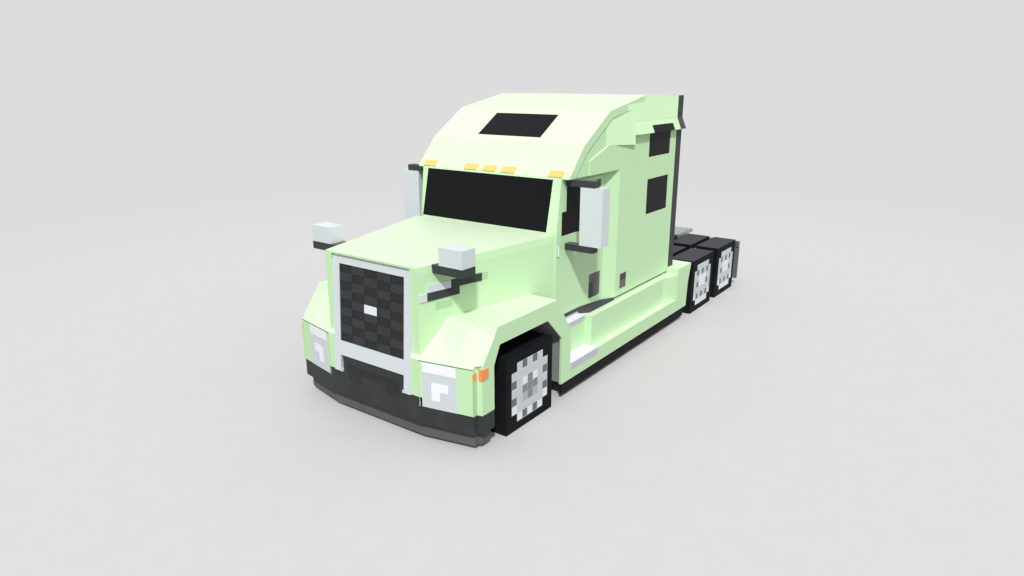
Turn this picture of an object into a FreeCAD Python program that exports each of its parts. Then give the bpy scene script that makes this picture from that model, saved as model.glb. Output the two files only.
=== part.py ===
import FreeCAD, Part
import os
import re
from math import cos, pi, radians, sin
from types import SimpleNamespace

import Sketcher

V = FreeCAD.Vector

# A semi truck tractor unit, faceted like block art, at full size: 100 mm to each block.
# X is the truck's left, Y its rear, Z up. Origin: on the ground, at the middle of the truck's box.
# Stations along Y are counted from the bumper's front plane. Heights are counted from the ground.

SIZES = {
    # Overall
    "overall_length": 8064,
    "nose": 24,
    "body_half": 1400,
    "clearance": 6,
    "cut_past": 50,
    "cut_margin": 10,
    # Wheels: square blocks, nine cells across
    "tyre_side": 900,
    "tyre_width": 400,
    "dual_gap": 100,
    "rim_side": 700,
    "rim_corner": 100,
    "rim_dish": 70,
    "rim_cavity": 300,
    "rim_relief": 20,
    "cell_gap": 3,
    "axle_height": 450,
    "front_axle_station": 1057,
    "rear_overhang": 1855,
    "tandem_pitch": 1115,
    "spindle_radius": 50,
    "running_fit": 0.05,
    # Steering
    "kingpin_inset": 200,
    "kingpin_radius": 25,
    "eye_radius": 55,
    "eye_height": 80,
    "ear_thick": 40,
    "beam_width": 90,
    "arm_reach": 300,
    "arm_back": 170,
    "arm_thick": 30,
    "ball_radius": 12,
    "tie_rod_radius": 18,
    # Frame
    "rail_outer": 430,
    "rail_flange": 80,
    "rail_web": 10,
    "rail_top": 770,
    "rail_height": 250,
    "rail_front": 300,
    "rail_end_gap": 140,
    "crossmember": 80,
    "crossmember_front": 2300,
    "crossmember_pitch": 1400,
    "cab_mount_front": 2150,
    "cab_mount_rear": 4900,
    "cab_mount_length": 120,
    "outrigger_front": 2180,
    "outrigger_rear": 4400,
    "spring_width": 80,
    "spring_thick": 40,
    "spring_half": 600,
    # Bumper and air dam
    "bumper_bottom": 210,
    "bumper_top": 510,
    "bumper_wing_top": 410,
    "cheek_width": 100,
    "signal_width": 60,
    "bumper_sweep_y": 130,
    "bumper_notch_y": 185,
    "bumper_corner_y": 200,
    "bumper_end_y": 400,
    "bumper_wall": 60,
    "panel_half": 475,
    "panel_top": 700,
    "dam_inset": 60,
    "dam_wall": 20,
    "dam_bottom": 40,
    # Grille
    "mesh_half": 500,
    "mesh_bottom": 884,
    "mesh_top": 1783,
    "mesh_depth": 40,
    "mesh_relief": 8,
    "surround_border": 100,
    "surround_bottom": 515,
    "surround_bar": 714,
    "surround_top": 1890,
    "surround_setback": 90,
    "surround_depth": 60,
    "plate_width": 200,
    "plate_height": 100,
    # Hood
    "hood_skin": 20,
    "hood_front": 40,
    "hood_rear": 1950,
    "hood_front_top": 1910,
    "hood_rear_top": 1960,
    "hood_bevel": 8,
    "hood_bevel_drop": 80,
    "hood_low": 920,
    "hood_apex_station": 300,
    "hood_crease_half": 550,
    "hood_crease_rise": 15,
    "fender_top": 1310,
    "fender_front": 400,
    "fender_rear": 1600,
    "fender_fold_inset": 300,
    "fender_chamfer": 100,
    "fender_chamfer_run": 60,
    "fender_lip_z": 940,
    "fender_tail_station": 1915,
    "fender_tail_z": 850,
    "fender_overrun": 85,
    "arch_top": 1110,
    "arch_front": 400,
    "arch_front_z": 910,
    "arch_front_top": 500,
    "arch_rear_top": 1405,
    "arch_rear": 1710,
    "arch_rear_z": 810,
    "hood_pivot_station": -12,
    "hood_pivot_z": 527,
    "hood_pin_radius": 6,
    "hinge_plate": 14,
    # Lamps and vents
    "headlight_inner_gap": 50,
    "headlight_outer_gap": 190,
    "headlight_bottom": 415,
    "headlight_top": 890,
    "headlight_thick": 30,
    "signal_bottom": 805,
    "signal_top": 925,
    "signal_back": 300,
    "signal_proud": 6,
    "signal_gap": 5,
    "signal_niche_top": 965,
    "signal_niche_depth": 25,
    "vent_thick": 12,
    "vent_upper_front": 455,
    "vent_lower_front": 150,
    "vent_length": 410,
    "vent_middle": 1627,
    "vent_height": 87,
    "hood_mirror_inner": 830,
    "hood_mirror_width": 310,
    "hood_mirror_front": 230,
    "hood_mirror_depth": 210,
    "hood_mirror_bottom": 1920,
    "hood_mirror_height": 190,
    "hood_bracket_height": 90,
    # Cab
    "cab_wall": 50,
    "cab_bottom": 850,
    "cab_front": 1960,
    "cab_corner_width": 100,
    "cab_corner_run": 70,
    "cab_inset": 100,
    "cab_rear": 3200,
    "sleeper_front": 3400,
    "sleeper_axle_gap": 1025,
    "sleeper_inset": 200,
    "cowl_z": 1979,
    "header_z": 2605,
    "screen_setback": 140,
    "screen_low_gap": 5,
    "screen_high_gap": 8,
    "screen_side_gap": 5,
    "screen_rim": 40,
    "glass_thick": 8,
    "glass_set": 8,
    "floor_thick": 40,
    # Doors
    "door_front_gap": 40,
    "door_rear_gap": 40,
    "door_low_gap": 30,
    "door_high_gap": 45,
    "door_thick": 50,
    "door_setback": 90,
    "window_border": 70,
    "window_step": 100,
    "window_step_z": 2210,
    "window_bottom": 1910,
    "window_top_border": 50,
    "door_hinge_proud": 12,
    "door_hinge_lead": 6,
    "door_hinge_radius": 11.5,
    "door_pin_radius": 5,
    "door_hinge_bottom": 1685,
    "door_hinge_height": 132,
    "handle_front": 2840,
    "handle_length": 300,
    "handle_bottom": 950,
    "handle_height": 330,
    "handle_depth": 25,
    # Side mirrors
    "mirror_gap": 200,
    "mirror_width": 300,
    "mirror_front": 2220,
    "mirror_depth": 180,
    "mirror_bottom": 1820,
    "mirror_height": 700,
    "mirror_arm_height": 80,
    "mirror_arm_lap": 190,
    "mirror_arm_depth": 120,
    # Roof
    "visor_station": 2130,
    "visor_z": 2615,
    "kink_station": 2464,
    "kink_z": 2981,
    "knee_station": 3073,
    "knee_z": 3355,
    "crown_station": 4037,
    "crown_z": 3530,
    "roof_rear_z": 3516,
    "roof_wall": 50,
    "roof_recess": 15,
    "skylight_half": 500,
    "skylight_front": 2553,
    "skylight_back": 2980,
    "marker_width": 200,
    "marker_depth": 60,
    "marker_thick": 14,
    "marker_inner": 300,
    "marker_set": 5,
    "marker_rise": 10,
    "flare_out": 70,
    "flare_bottom": 3030,
    "flare_kink": 3195,
    "flare_front": 3740,
    "flare_start": 3010,
    "flare_drop": 130,
    "panel_out": 40,
    "beak_station": 2606,
    "beak_z": 2780,
    "beak_top_z": 2940,
    "roof_edge": 110,
    # Sleeper windows and extenders
    "pane_length": 710,
    "pane_rear_gap": 200,
    "sleeper_glass_low": 1875,
    "pane_height": 505,
    "pane_drop": 340,
    "extender_length": 190,
    "extender_thick": 25,
    "hatch_front": 3530,
    "hatch_length": 200,
    "hatch_bottom": 930,
    "hatch_height": 220,
    # Side fairings, skirts and steps
    "fairing_front": 1715,
    "fairing_axle_gap": 665,
    "fairing_rake": 120,
    "fairing_bottom": 210,
    "fairing_rim": 810,
    "fairing_block_top": 905,
    "fairing_ledge": 410,
    "recess_depth": 100,
    "pocket_depth": 200,
    "pocket_front": 1920,
    "pocket_rear": 2600,
    "recess_slope_run": 320,
    "fairing_block_length": 400,
    "fairing_skin": 40,
    "fairing_depth": 360,
    "wheel_well_wall": 1755,
    "skirt_bottom": 57,
    "skirt_inset": 20,
    "skirt_thick": 30,
    "skirt_end_gap": 70,
    "skirt_front_gap": 45,
    "pull_length": 130,
    "pull_height": 220,
    "door_glass_set": 28,
    "knuckle_lap": 30,
    "spindle_start": 20,
    "seat_base_inset": 100,
    "seat_back_thick": 110,
    "upper_step_depth": 140,
    "step_proud": 6,
    # Rear end
    "deck_overhang": 50,
    "deck_top": 960,
    "deck_thick": 60,
    "deck_gap": 30,
    "deck_end_gap": 80,
    "rear_bar_bottom": 710,
    "rear_bar_top": 820,
    "rear_bar_depth": 60,
    "tail_lamp_x": 560,
    "tail_lamp_length": 320,
    "tail_lamp_depth": 20,
    "tail_lamp_border": 15,
    "flap_bottom": 100,
    "flap_thick": 30,
    # Fifth wheel
    "coupler_behind_axle": 555,
    "coupler_reach": 520,
    "coupler_tail": 490,
    "coupler_pin_z": 840,
    "coupler_pin_radius": 25,
    "coupler_lug_half": 330,
    "coupler_lug_thick": 40,
    "coupler_bracket_thick": 40,
    "coupler_bracket_half": 90,
    "coupler_gap": 5,
    "coupler_rim": 10,
    "coupler_lug_length": 140,
    "coupler_chamfer": 150,
    "jaw_reach": 40,
    "jaw_length": 20,
    "kingpin_bore_radius": 25.5,
    "throat_half": 190,
    # Engine, radiator and tanks
    "engine_front": 600,
    "engine_rear": 1850,
    "engine_bottom": 520,
    "engine_top": 1560,
    "radiator_border": 50,
    "radiator_front": 160,
    "radiator_thick": 130,
    "radiator_bottom": 600,
    "radiator_top": 1740,
    "tank_radius": 260,
    "tank_gap": 40,
    "tank_centre_z": 520,
    "tank_front": 2300,
    "tank_rear": 4300,
    # Cab inside
    "seat_x": 520,
    "seat_width": 500,
    "seat_front": 2560,
    "seat_length": 520,
    "seat_z": 1250,
    "seat_cushion": 120,
    "seat_back_height": 650,
    "dash_front": 2090,
    "dash_depth": 260,
    "dash_bottom": 1500,
    "dash_top": 1900,
    "wheel_radius": 225,
    "wheel_rim_radius": 16,
    "wheel_station": 2460,
    "wheel_centre_z": 1850,
    "wheel_shaft_radius": 12,
    "steering_tilt": 50,
    "column_radius": 40,
    "column_length": 220,
    "bunk_front": 4000,
    "bunk_height": 450,
    "bunk_thick": 150,
}

# Lengths that follow from the sizes
TIED = {
    "rear_end": "overall_length - nose",
    "rear_axle_station": "rear_end - rear_overhang",
    "rail_rear": "rear_end - rail_end_gap",
    "coupler_station": "rear_axle_station + coupler_behind_axle",
    "coupler_front": "coupler_station - coupler_reach",
    "coupler_rear": "coupler_station + coupler_tail",
    "deck_front": "coupler_rear + deck_gap",
    "deck_rear": "rear_end - deck_end_gap",
    "deck_half": "rail_outer + deck_overhang",
    "fairing_rear": "rear_axle_station - fairing_axle_gap",
    "fairing_rear_top": "fairing_rear + fairing_rake",
    "recess_rear": "fairing_rear - fairing_block_length",
    "recess_slope": "recess_rear - recess_slope_run",
    "skirt_rear": "fairing_rear - skirt_end_gap",
    "wheel_face": "body_half",
    "kingpin_offset": "wheel_face - kingpin_inset",
    "flap_inner": "wheel_face - tyre_width",
    "sleeper_half": "body_half - sleeper_inset",
    "sleeper_rear": "rear_axle_station - sleeper_axle_gap",
    "cab_half": "sleeper_half - cab_inset",
    "marker_outer": "cab_half - marker_width / 2",
    "cab_front_half": "cab_half - cab_corner_width",
    "screen_half": "cab_front_half - screen_side_gap",
    "surround_front": "-nose",
    "surround_half": "mesh_half + surround_border",
    "radiator_half": "mesh_half - radiator_border",
    "bumper_flat_half": "surround_half + cheek_width",
    "bumper_sweep_x": "body_half - signal_width",
    "hood_front_half": "bumper_flat_half",
    "hood_rear_half": "cab_half",
    "fender_fold": "body_half - fender_fold_inset",
    "headlight_inner": "bumper_flat_half + headlight_inner_gap",
    "headlight_outer": "bumper_sweep_x - headlight_outer_gap",
    "hood_mirror_outer": "hood_mirror_inner + hood_mirror_width",
    "hood_mirror_back": "hood_mirror_front + hood_mirror_depth",
    "hood_mirror_top": "hood_mirror_bottom + hood_mirror_height",
    "hood_bracket_bottom": "hood_mirror_bottom - hood_bracket_height",
    "cab_corner": "cab_front + cab_corner_run",
    "screen_bottom": "cowl_z + screen_low_gap",
    "screen_top": "header_z - screen_high_gap",
    "door_front": "cab_corner + door_front_gap",
    "door_rear": "cab_rear - door_rear_gap",
    "door_bottom": "cab_bottom + door_low_gap",
    "door_top": "header_z - door_high_gap",
    "window_front": "door_front + window_border",
    "window_rear": "door_rear - window_border",
    "window_top": "door_top - window_top_border",
    "door_hinge_x": "cab_half + door_hinge_proud",
    "door_hinge_y": "door_front - door_hinge_lead",
    "door_hinge_top": "door_hinge_bottom + door_hinge_height",
    "handle_rear": "handle_front + handle_length",
    "handle_top": "handle_bottom + handle_height",
    "mirror_inner": "cab_half + mirror_gap",
    "mirror_outer": "mirror_inner + mirror_width",
    "mirror_back": "mirror_front + mirror_depth",
    "mirror_top": "mirror_bottom + mirror_height",
    "sleeper_glass_rear": "sleeper_rear - pane_rear_gap",
    "sleeper_glass_front": "sleeper_glass_rear - pane_length",
    "sleeper_glass_mid": "sleeper_glass_low + pane_height",
    "sleeper_glass_high": "flare_bottom - pane_drop",
    "sleeper_glass_top": "flare_bottom + 0.6 * (flare_kink - flare_bottom)",
    "hatch_rear": "hatch_front + hatch_length",
    "hatch_top": "hatch_bottom + hatch_height",
    "fairing_recess_x": "body_half - recess_depth",
    "fairing_pocket_x": "body_half - pocket_depth",
    "fairing_inner": "body_half - fairing_depth",
    "upper_step_inner": "fairing_pocket_x - upper_step_depth",
    "tank_centre_x": "fairing_inner - tank_radius - tank_gap",
}

doc = FreeCAD.newDocument("tractor_unit")
sheet = doc.addObject("Spreadsheet::Sheet", "dims")
cells = {**SIZES, **{alias: "=" + expression for alias, expression in TIED.items()}}
for row, (alias, content) in enumerate(cells.items(), 1):
    sheet.set(f"A{row}", alias)
    sheet.setAlias(f"B{row}", alias)
    sheet.set(f"B{row}", str(content))
doc.recompute()
d = SimpleNamespace(**{alias: float(sheet.get(alias)) for alias in cells})

# Every station is moved by this length, so that the origin lies under the middle of the truck
SHIFT = "nose - overall_length / 2"
shift = d.nose - d.overall_length / 2
SIDES = ((1, "left"), (-1, "right"))
# A door's own knuckle fills the middle third of its hinge
HINGE_LOW = "(door_hinge_bottom + (door_hinge_top - door_hinge_bottom) / 3)"
HINGE_HIGH = "(door_hinge_top - (door_hinge_top - door_hinge_bottom) / 3)"
NODES = []


# Drawing helpers

def bound(expression):
    """The expression with each size's name read from the sheet."""
    return re.sub(r"[a-z][a-z_]*", lambda m: "dims." + m[0] if m[0] in cells else m[0], str(expression))


def bind(feature, prop, expression):
    feature.setExpression(prop, bound(expression))


def span(pair, side=1):
    """A pair of expressions as start and length, mirrored for the right side."""
    low, high = pair
    if side < 0:
        low, high = f"-({high})", f"-({low})"
    return low, f"({high}) - ({low})"


def box(name, x, y, z, side=1):
    feature = doc.addObject("Part::Box", name)
    low_x, length = span(x, side)
    low_y, width = span(y)
    low_z, height = span(z)
    bind(feature, "Length", length)
    bind(feature, "Width", width)
    bind(feature, "Height", height)
    bind(feature, "Placement.Base.x", low_x)
    bind(feature, "Placement.Base.y", f"({low_y}) + {SHIFT}")
    bind(feature, "Placement.Base.z", low_z)
    return feature


AXES = {"X": V(1, 0, 0), "Y": V(0, 1, 0), "Z": V(0, 0, 1)}
PLANES = {
    "side": (AXES["Y"], AXES["Z"], AXES["X"]),
    "plan": (AXES["X"], AXES["Y"], AXES["Z"]),
    "front": (AXES["X"], AXES["Z"], -AXES["Y"]),
}


def prism(name, plane, points, low, high, side=1):
    """An outline drawn in one plane and drawn out from low to high across it.

    A side outline holds (station, height) and runs along X; a plan holds (x, station) and runs
    along Z; a front outline holds (x, height) and runs along Y.
    """
    sketch = doc.addObject("Sketcher::SketchObject", name + "_outline")
    count = len(points)
    ring = [V(1000 * cos(2 * pi * i / count), 1000 * sin(2 * pi * i / count), 0) for i in range(count)]
    for i in range(count):
        sketch.addGeometry(Part.LineSegment(ring[i], ring[(i + 1) % count]), False)
    for i in range(count):
        sketch.addConstraint(Sketcher.Constraint("Coincident", i, 2, (i + 1) % count, 1))
        for kind, start in (("DistanceX", ring[i].x), ("DistanceY", ring[i].y)):
            index = sketch.addConstraint(Sketcher.Constraint(kind, -1, 1, i, 1, start))
            sketch.renameConstraint(index, f"{kind}{i}")
    for i, (first, second) in enumerate(points):
        if plane == "side":
            first = f"({first}) + {SHIFT}"
        elif plane == "plan":
            second = f"({second}) + {SHIFT}"
        if side < 0 and plane != "side":
            first = f"-({first})"
        bind(sketch, f"Constraints.DistanceX{i}", first)
        bind(sketch, f"Constraints.DistanceY{i}", second)
    low, length = span((low, high), side if plane == "side" else 1)
    local_x, local_y, normal = PLANES[plane]
    sketch.Placement.Rotation = FreeCAD.Rotation(local_x, local_y, normal, "XYZ")
    base = {"side": "x", "plan": "z", "front": "y"}[plane]
    along = f"({high}) + {SHIFT}" if plane == "front" else low
    bind(sketch, f"Placement.Base.{base}", along)
    feature = doc.addObject("Part::Extrusion", name)
    feature.Base = sketch
    feature.DirMode = "Normal"
    feature.Solid = True
    bind(feature, "LengthFwd", length)
    return feature


def rod(name, axis, centre, radius, length, side=1):
    """A round bar that starts at centre and runs along an axis."""
    feature = doc.addObject("Part::Cylinder", name)
    bind(feature, "Radius", radius)
    bind(feature, "Height", length)
    x, y, z = centre
    if side < 0:
        x = f"-({x})" if axis != "X" else f"-({x}) - ({length})"
    feature.Placement.Rotation = FreeCAD.Rotation(AXES["Z"], AXES[axis])
    bind(feature, "Placement.Base.x", x)
    bind(feature, "Placement.Base.y", f"({y}) + {SHIFT}")
    bind(feature, "Placement.Base.z", z)
    return feature


def flat_rings(ring):
    """The ring itself where its corners lie in one plane, else the triangles of a fan."""
    normal = (ring[1] - ring[0]).cross(ring[2] - ring[0])
    normal.normalize()
    if all(abs((corner - ring[0]).dot(normal)) < 1e-7 for corner in ring):
        return [ring]
    return [[ring[0], ring[i], ring[i + 1]] for i in range(1, len(ring) - 1)]


def faceted(name, points, faces):
    """A closed solid of flat faces; each face lists its corners' names."""
    corners = {key: V(x, y + shift, z) for key, (x, y, z) in points.items()}
    shell = []
    for face in faces:
        for ring in flat_rings([corners[key] for key in face]):
            shell.append(Part.Face(Part.makePolygon(ring + ring[:1])))
    solid = Part.makeSolid(Part.makeShell(shell))
    if solid.Volume < 0:
        solid.reverse()
    feature = doc.addObject("Part::Feature", name)
    feature.Shape = solid
    return feature


def join(name, parts):
    feature = doc.addObject("Part::MultiFuse", name)
    feature.Shapes = parts
    feature.Refine = True
    return feature


def group(name, parts):
    feature = doc.addObject("Part::Compound", name)
    feature.Links = parts
    return feature


def cut(name, base, tools):
    tool = tools[0] if len(tools) == 1 else join(name + "_tool", tools)
    feature = doc.addObject("Part::Cut", name)
    feature.Base = base
    feature.Tool = tool
    feature.Refine = True
    return feature


def node(feature, label):
    """Marks a finished sub-part: its label names its file."""
    feature.Label = label
    NODES.append(feature)
    return feature


# Wheels

def cell_outline(station):
    """The wheel disc's outline: a square of cells without its four corner cells."""
    half, corner = "rim_side / 2", "rim_corner"
    points = []
    for sy, sz, order in ((1, -1, 0), (1, 1, 1), (-1, 1, 0), (-1, -1, 1)):
        wide = (f"{station} + {sy} * ({half})", f"axle_height + {sz} * ({half} - {corner})")
        inner = (f"{station} + {sy} * ({half} - {corner})", f"axle_height + {sz} * ({half} - {corner})")
        tall = (f"{station} + {sy} * ({half} - {corner})", f"axle_height + {sz} * ({half})")
        points += [wide, inner, tall] if order else [tall, inner, wide]
    return points


def tyre(name, station, inner_face, outer_face, side):
    half = "tyre_side / 2"
    block = box(name + "_block", (inner_face, outer_face),
                (f"{station} - {half}", f"{station} + {half}"),
                (f"axle_height - {half}", f"axle_height + {half}"), side)
    hole = prism(name + "_hole", "side", cell_outline(station), f"{inner_face} - cut_margin",
                 f"{outer_face} + cut_margin", side)
    return cut(name + "_ring", block, [hole])


def relief_cells(name, station, cells, depth, side):
    """Square pockets in the disc's face, one for each (column, row) from its middle."""
    pockets = []
    for index, (column, row) in enumerate(cells):
        y = f"{station} + {column} * rim_corner"
        z = f"axle_height + {row} * rim_corner"
        pockets.append(box(f"{name}_cell{index}", (f"wheel_face - {depth}", "wheel_face + cut_margin"),
                           (f"{y} - rim_corner / 2 + cell_gap", f"{y} + rim_corner / 2 - cell_gap"),
                           (f"{z} - rim_corner / 2 + cell_gap", f"{z} + rim_corner / 2 - cell_gap"), side))
    return pockets


def wheel(word, number, station, inner_face, cells, side):
    disc = prism(f"rim_{word}_{number}_disc", "side", cell_outline(station), inner_face, "wheel_face", side)
    cavity = rod(f"rim_{word}_{number}_cavity", "X", (f"{inner_face} - cut_margin", station, "axle_height"),
                 "rim_cavity", f"wheel_face - rim_dish - ({inner_face}) + cut_margin", side)
    bore = rod(f"rim_{word}_{number}_bore", "X", ("wheel_face - rim_dish - cut_margin", station,
                                                  "axle_height"),
               "spindle_radius + running_fit", "rim_dish - rim_relief + cut_margin", side)
    pockets = relief_cells(f"rim_{word}_{number}", station, cells, "rim_relief", side)
    return cut(f"rim_{word}_{number}_body", disc, [cavity, bore] + pockets)


FRONT_CELLS = [(x, y) for x in (-3, 3) for y in (-1, 1)] + [(x, y) for y in (-3, 3) for x in (-1, 1)]
REAR_CELLS = [(x, y) for x in (-2, 0, 2) for y in (-2, 0, 2) if (x, y) != (0, 0)]
FRONT_INNER = "wheel_face - tyre_width"
REAR_INNER = "wheel_face - 2 * tyre_width - dual_gap"
REAR_STATIONS = {"front": "rear_axle_station", "rear": "(rear_axle_station + tandem_pitch)"}

for side, word in SIDES:
    station = "front_axle_station"
    node(tyre(f"tyre_{word}", station, FRONT_INNER, "wheel_face", side), f"tyre_front_{word}")
    node(wheel(word, "steer", station, FRONT_INNER, FRONT_CELLS, side), f"rim_front_{word}")
    for place, station in REAR_STATIONS.items():
        outer = tyre(f"outer_{place}_{word}", station, FRONT_INNER, "wheel_face", side)
        inner = tyre(f"inner_{place}_{word}", station, REAR_INNER, "wheel_face - tyre_width - dual_gap", side)
        node(group(f"tyres_{place}_{word}", [outer, inner]), f"tyres_rear_{place}_{word}")
        node(wheel(word, place, station, REAR_INNER, REAR_CELLS, side), f"rim_rear_{place}_{word}")


# Front axle, knuckles and tie rod

def front_axle():
    beam = box("axle_beam", ("-kingpin_offset", "kingpin_offset"),
               ("front_axle_station - beam_width / 2", "front_axle_station + beam_width / 2"),
               ("axle_height - eye_height / 2", "axle_height + eye_height / 2"))
    bodies, bores = [beam], []
    for side, word in SIDES:
        foot = ("kingpin_offset", "front_axle_station", "axle_height - eye_height / 2")
        bodies.append(rod(f"axle_eye_{word}", "Z", foot, "eye_radius", "eye_height", side))
        bores.append(rod(f"axle_bore_{word}", "Z", foot, "kingpin_radius + running_fit", "eye_height", side))
        bodies.append(box(f"spring_{word}", ("rail_outer - spring_width", "rail_outer"),
                          ("front_axle_station - spring_half", "front_axle_station + spring_half"),
                          ("axle_height + eye_height / 2 - spring_thick / 4",
                           "axle_height + eye_height / 2 + spring_thick * 3 / 4 "), side))
    return cut("front_axle_body", join("axle_forging", bodies), bores)


def knuckle(side, word):
    bottom = "axle_height - eye_height / 2 - clearance - ear_thick"
    height = "eye_height + 2 * clearance + 2 * ear_thick"
    centre = ("kingpin_offset", "front_axle_station")
    lower = rod(f"ear_low_{word}", "Z", centre + (bottom,), "eye_radius", "ear_thick", side)
    upper = rod(f"ear_high_{word}", "Z", centre + (f"axle_height + eye_height / 2 + clearance",),
                "eye_radius", "ear_thick", side)
    pin = rod(f"kingpin_{word}", "Z", centre + (bottom,), "kingpin_radius", height, side)
    plate = box(f"knuckle_plate_{word}", ("kingpin_offset", "kingpin_offset + eye_radius + knuckle_lap"),
                ("front_axle_station - eye_radius", "front_axle_station + eye_radius"),
                (bottom, f"{bottom} + {height}"), side)
    relief = rod(f"knuckle_relief_{word}", "Z", centre + (f"{bottom} + ear_thick",),
                 "eye_radius + clearance", "eye_height + 2 * clearance", side)
    spindle = rod(f"spindle_{word}", "X", ("kingpin_offset + eye_radius + spindle_start",
                                           "front_axle_station", "axle_height"),
                  "spindle_radius", "wheel_face - rim_relief - kingpin_offset - eye_radius - spindle_start",
                  side)
    arm = prism(f"steering_arm_{word}", "plan",
                [("kingpin_offset", "front_axle_station - 35"), ("kingpin_offset", "front_axle_station + 35"),
                 ("kingpin_offset - arm_reach + 30", "front_axle_station + arm_back + 25"),
                 ("kingpin_offset - arm_reach - 25", "front_axle_station + arm_back + 25"),
                 ("kingpin_offset - arm_reach - 25", "front_axle_station + arm_back - 25"),
                 ("kingpin_offset - arm_reach", "front_axle_station + arm_back - 25")],
                bottom, f"{bottom} + arm_thick", side)
    eye = rod(f"arm_eye_{word}", "Z",
              ("kingpin_offset - arm_reach", "front_axle_station + arm_back", bottom),
              "ball_radius + running_fit", "arm_thick", side)
    plain = cut(f"knuckle_plate_cut_{word}", plate, [relief])
    solid = join(f"knuckle_solid_{word}", [lower, upper, pin, plain, spindle, arm])
    return cut(f"knuckle_body_{word}", solid, [eye])


def tie_rod():
    bottom = "axle_height - eye_height / 2 - clearance - ear_thick"
    station = "front_axle_station + arm_back"
    reach = "kingpin_offset - arm_reach"
    level = f"{bottom} - tie_rod_radius - 4"
    bar = rod("tie_rod_bar", "X", (f"-({reach})", station, level), "tie_rod_radius", f"2 * ({reach})")
    ends = [rod(f"tie_rod_end_{word}", "Z", (reach, station, f"{level} - tie_rod_radius - 4"),
                "tie_rod_radius + 6", "2 * tie_rod_radius + 6", side) for side, word in SIDES]
    ball = rod("tie_rod_ball", "Z", (reach, station, level), "ball_radius", "tie_rod_radius + 4 + arm_thick")
    return join("tie_rod_body", [bar, ball] + ends)


node(front_axle(), "front_axle")
for side, word in SIDES:
    node(knuckle(side, word), f"knuckle_{word}")
node(tie_rod(), "tie_rod")


# Rear axles

def rear_axle(place, station):
    tube = rod(f"{place}_tube", "X", ("-(wheel_face - rim_relief)", station, "axle_height"),
               "spindle_radius", "2 * (wheel_face - rim_relief)")
    housing = rod(f"{place}_housing", "X", ("-(rail_outer - rail_flange - 20)", station, "axle_height"),
                  "spindle_radius * 3", "2 * (rail_outer - rail_flange - 20)")
    parts = [tube, housing]
    for side, word in SIDES:
        parts.append(box(f"{place}_saddle_{word}", ("rail_outer - rail_flange + 10", "rail_outer"),
                         (f"{station} - 60", f"{station} + 60"),
                         ("axle_height", "rail_top - rail_height"), side))
    return join(f"{place}_axle", parts)


node(group("rear_axle_pair", [rear_axle(place, station) for place, station in REAR_STATIONS.items()]),
     "rear_axles")


# Frame

def frame():
    parts = []
    top, bottom = "rail_top", "rail_top - rail_height"
    for side, word in SIDES:
        channel = [("rail_outer", bottom), ("rail_outer", top), ("rail_outer - rail_flange", top),
                   ("rail_outer - rail_flange", "rail_top - rail_web"),
                   ("rail_outer - rail_web", "rail_top - rail_web"),
                   ("rail_outer - rail_web", f"{bottom} + rail_web"),
                   ("rail_outer - rail_flange", f"{bottom} + rail_web"), ("rail_outer - rail_flange", bottom)]
        parts.append(prism(f"rail_{word}", "front", channel, "rail_front", "rail_rear", side))
    bays = [f"crossmember_front + {index} * crossmember_pitch" for index in range(3)]
    places = ["rail_front"] + bays + ["rear_axle_station + tandem_pitch / 2 - crossmember / 2",
              "rail_rear - crossmember"]
    for index, place in enumerate(places):
        parts.append(box(f"crossmember_{index}", ("-(rail_outer - rail_web)", "rail_outer - rail_web"),
                         (place, f"{place} + crossmember"), (f"{bottom} + rail_web", "rail_top - rail_web")))
    for side, word in SIDES:
        for key in ("front", "rear"):
            place = f"cab_mount_{key}"
            parts.append(box(f"{place}_{word}", ("rail_outer - rail_flange", "rail_outer"),
                             (place, f"{place} + cab_mount_length"), (top, "cab_bottom"), side))
        for key, wall in (("front", "fairing_pocket_x"), ("rear", "fairing_recess_x")):
            place = f"outrigger_{key}"
            parts.append(box(f"{place}_{word}", ("rail_outer - rail_web", f"{wall} - fairing_skin"),
                             (place, f"{place} + crossmember"), (bottom, f"{bottom} + crossmember"), side))
    horns = box("frame_horns", ("-rail_outer", "rail_outer"), ("bumper_wall", "rail_front"),
                (bottom, f"{bottom} + crossmember"))
    return join("frame_body", parts + [horns])


node(frame(), "frame")


# Bumper and air dam

def bumper_outline(inset, half="bumper_flat_half"):
    """The bumper's plan from its flat middle to its rear end, moved inwards by an inset."""
    return [(f"{half} - {inset} * 0.1", f"{inset}"),
            (f"bumper_sweep_x - {inset} * 0.5", f"bumper_sweep_y + {inset}"),
            (f"bumper_sweep_x - {inset} * 0.6", f"bumper_notch_y + {inset}"),
            (f"body_half - {inset}", f"bumper_corner_y + {inset}"),
            (f"body_half - {inset}", "bumper_end_y")]


def swept_band(name, inset, wall, low, high):
    """A wall that follows the bumper's plan from end to end."""
    outer = bumper_outline(inset)
    inner = bumper_outline(f"({inset} + {wall})")
    right = [(f"-({x})", y) for x, y in outer]
    right_inner = [(f"-({x})", y) for x, y in inner]
    ring = outer[::-1] + right + right_inner[::-1] + inner
    return prism(name, "plan", ring, low, high)


def bumper():
    band = swept_band("bumper_band", "0", "bumper_wall", "bumper_bottom", "bumper_wing_top")
    middle = box("bumper_middle", ("-bumper_flat_half", "bumper_flat_half"), ("0", "bumper_wall"),
                 ("bumper_wing_top", "bumper_top"))
    panel = box("bumper_panel", ("-panel_half", "panel_half"), ("0", "bumper_wall"),
                ("bumper_top", "panel_top"))
    mounts = []
    for side, word in SIDES:
        mounts.append(box(f"bumper_mount_{word}", ("rail_outer - rail_flange", "rail_outer"),
                          ("bumper_wall", "rail_front"),
                          ("rail_top - rail_height - crossmember", "rail_top - rail_height"), side))
    return join("bumper_body", [band, middle, panel] + mounts)


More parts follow.
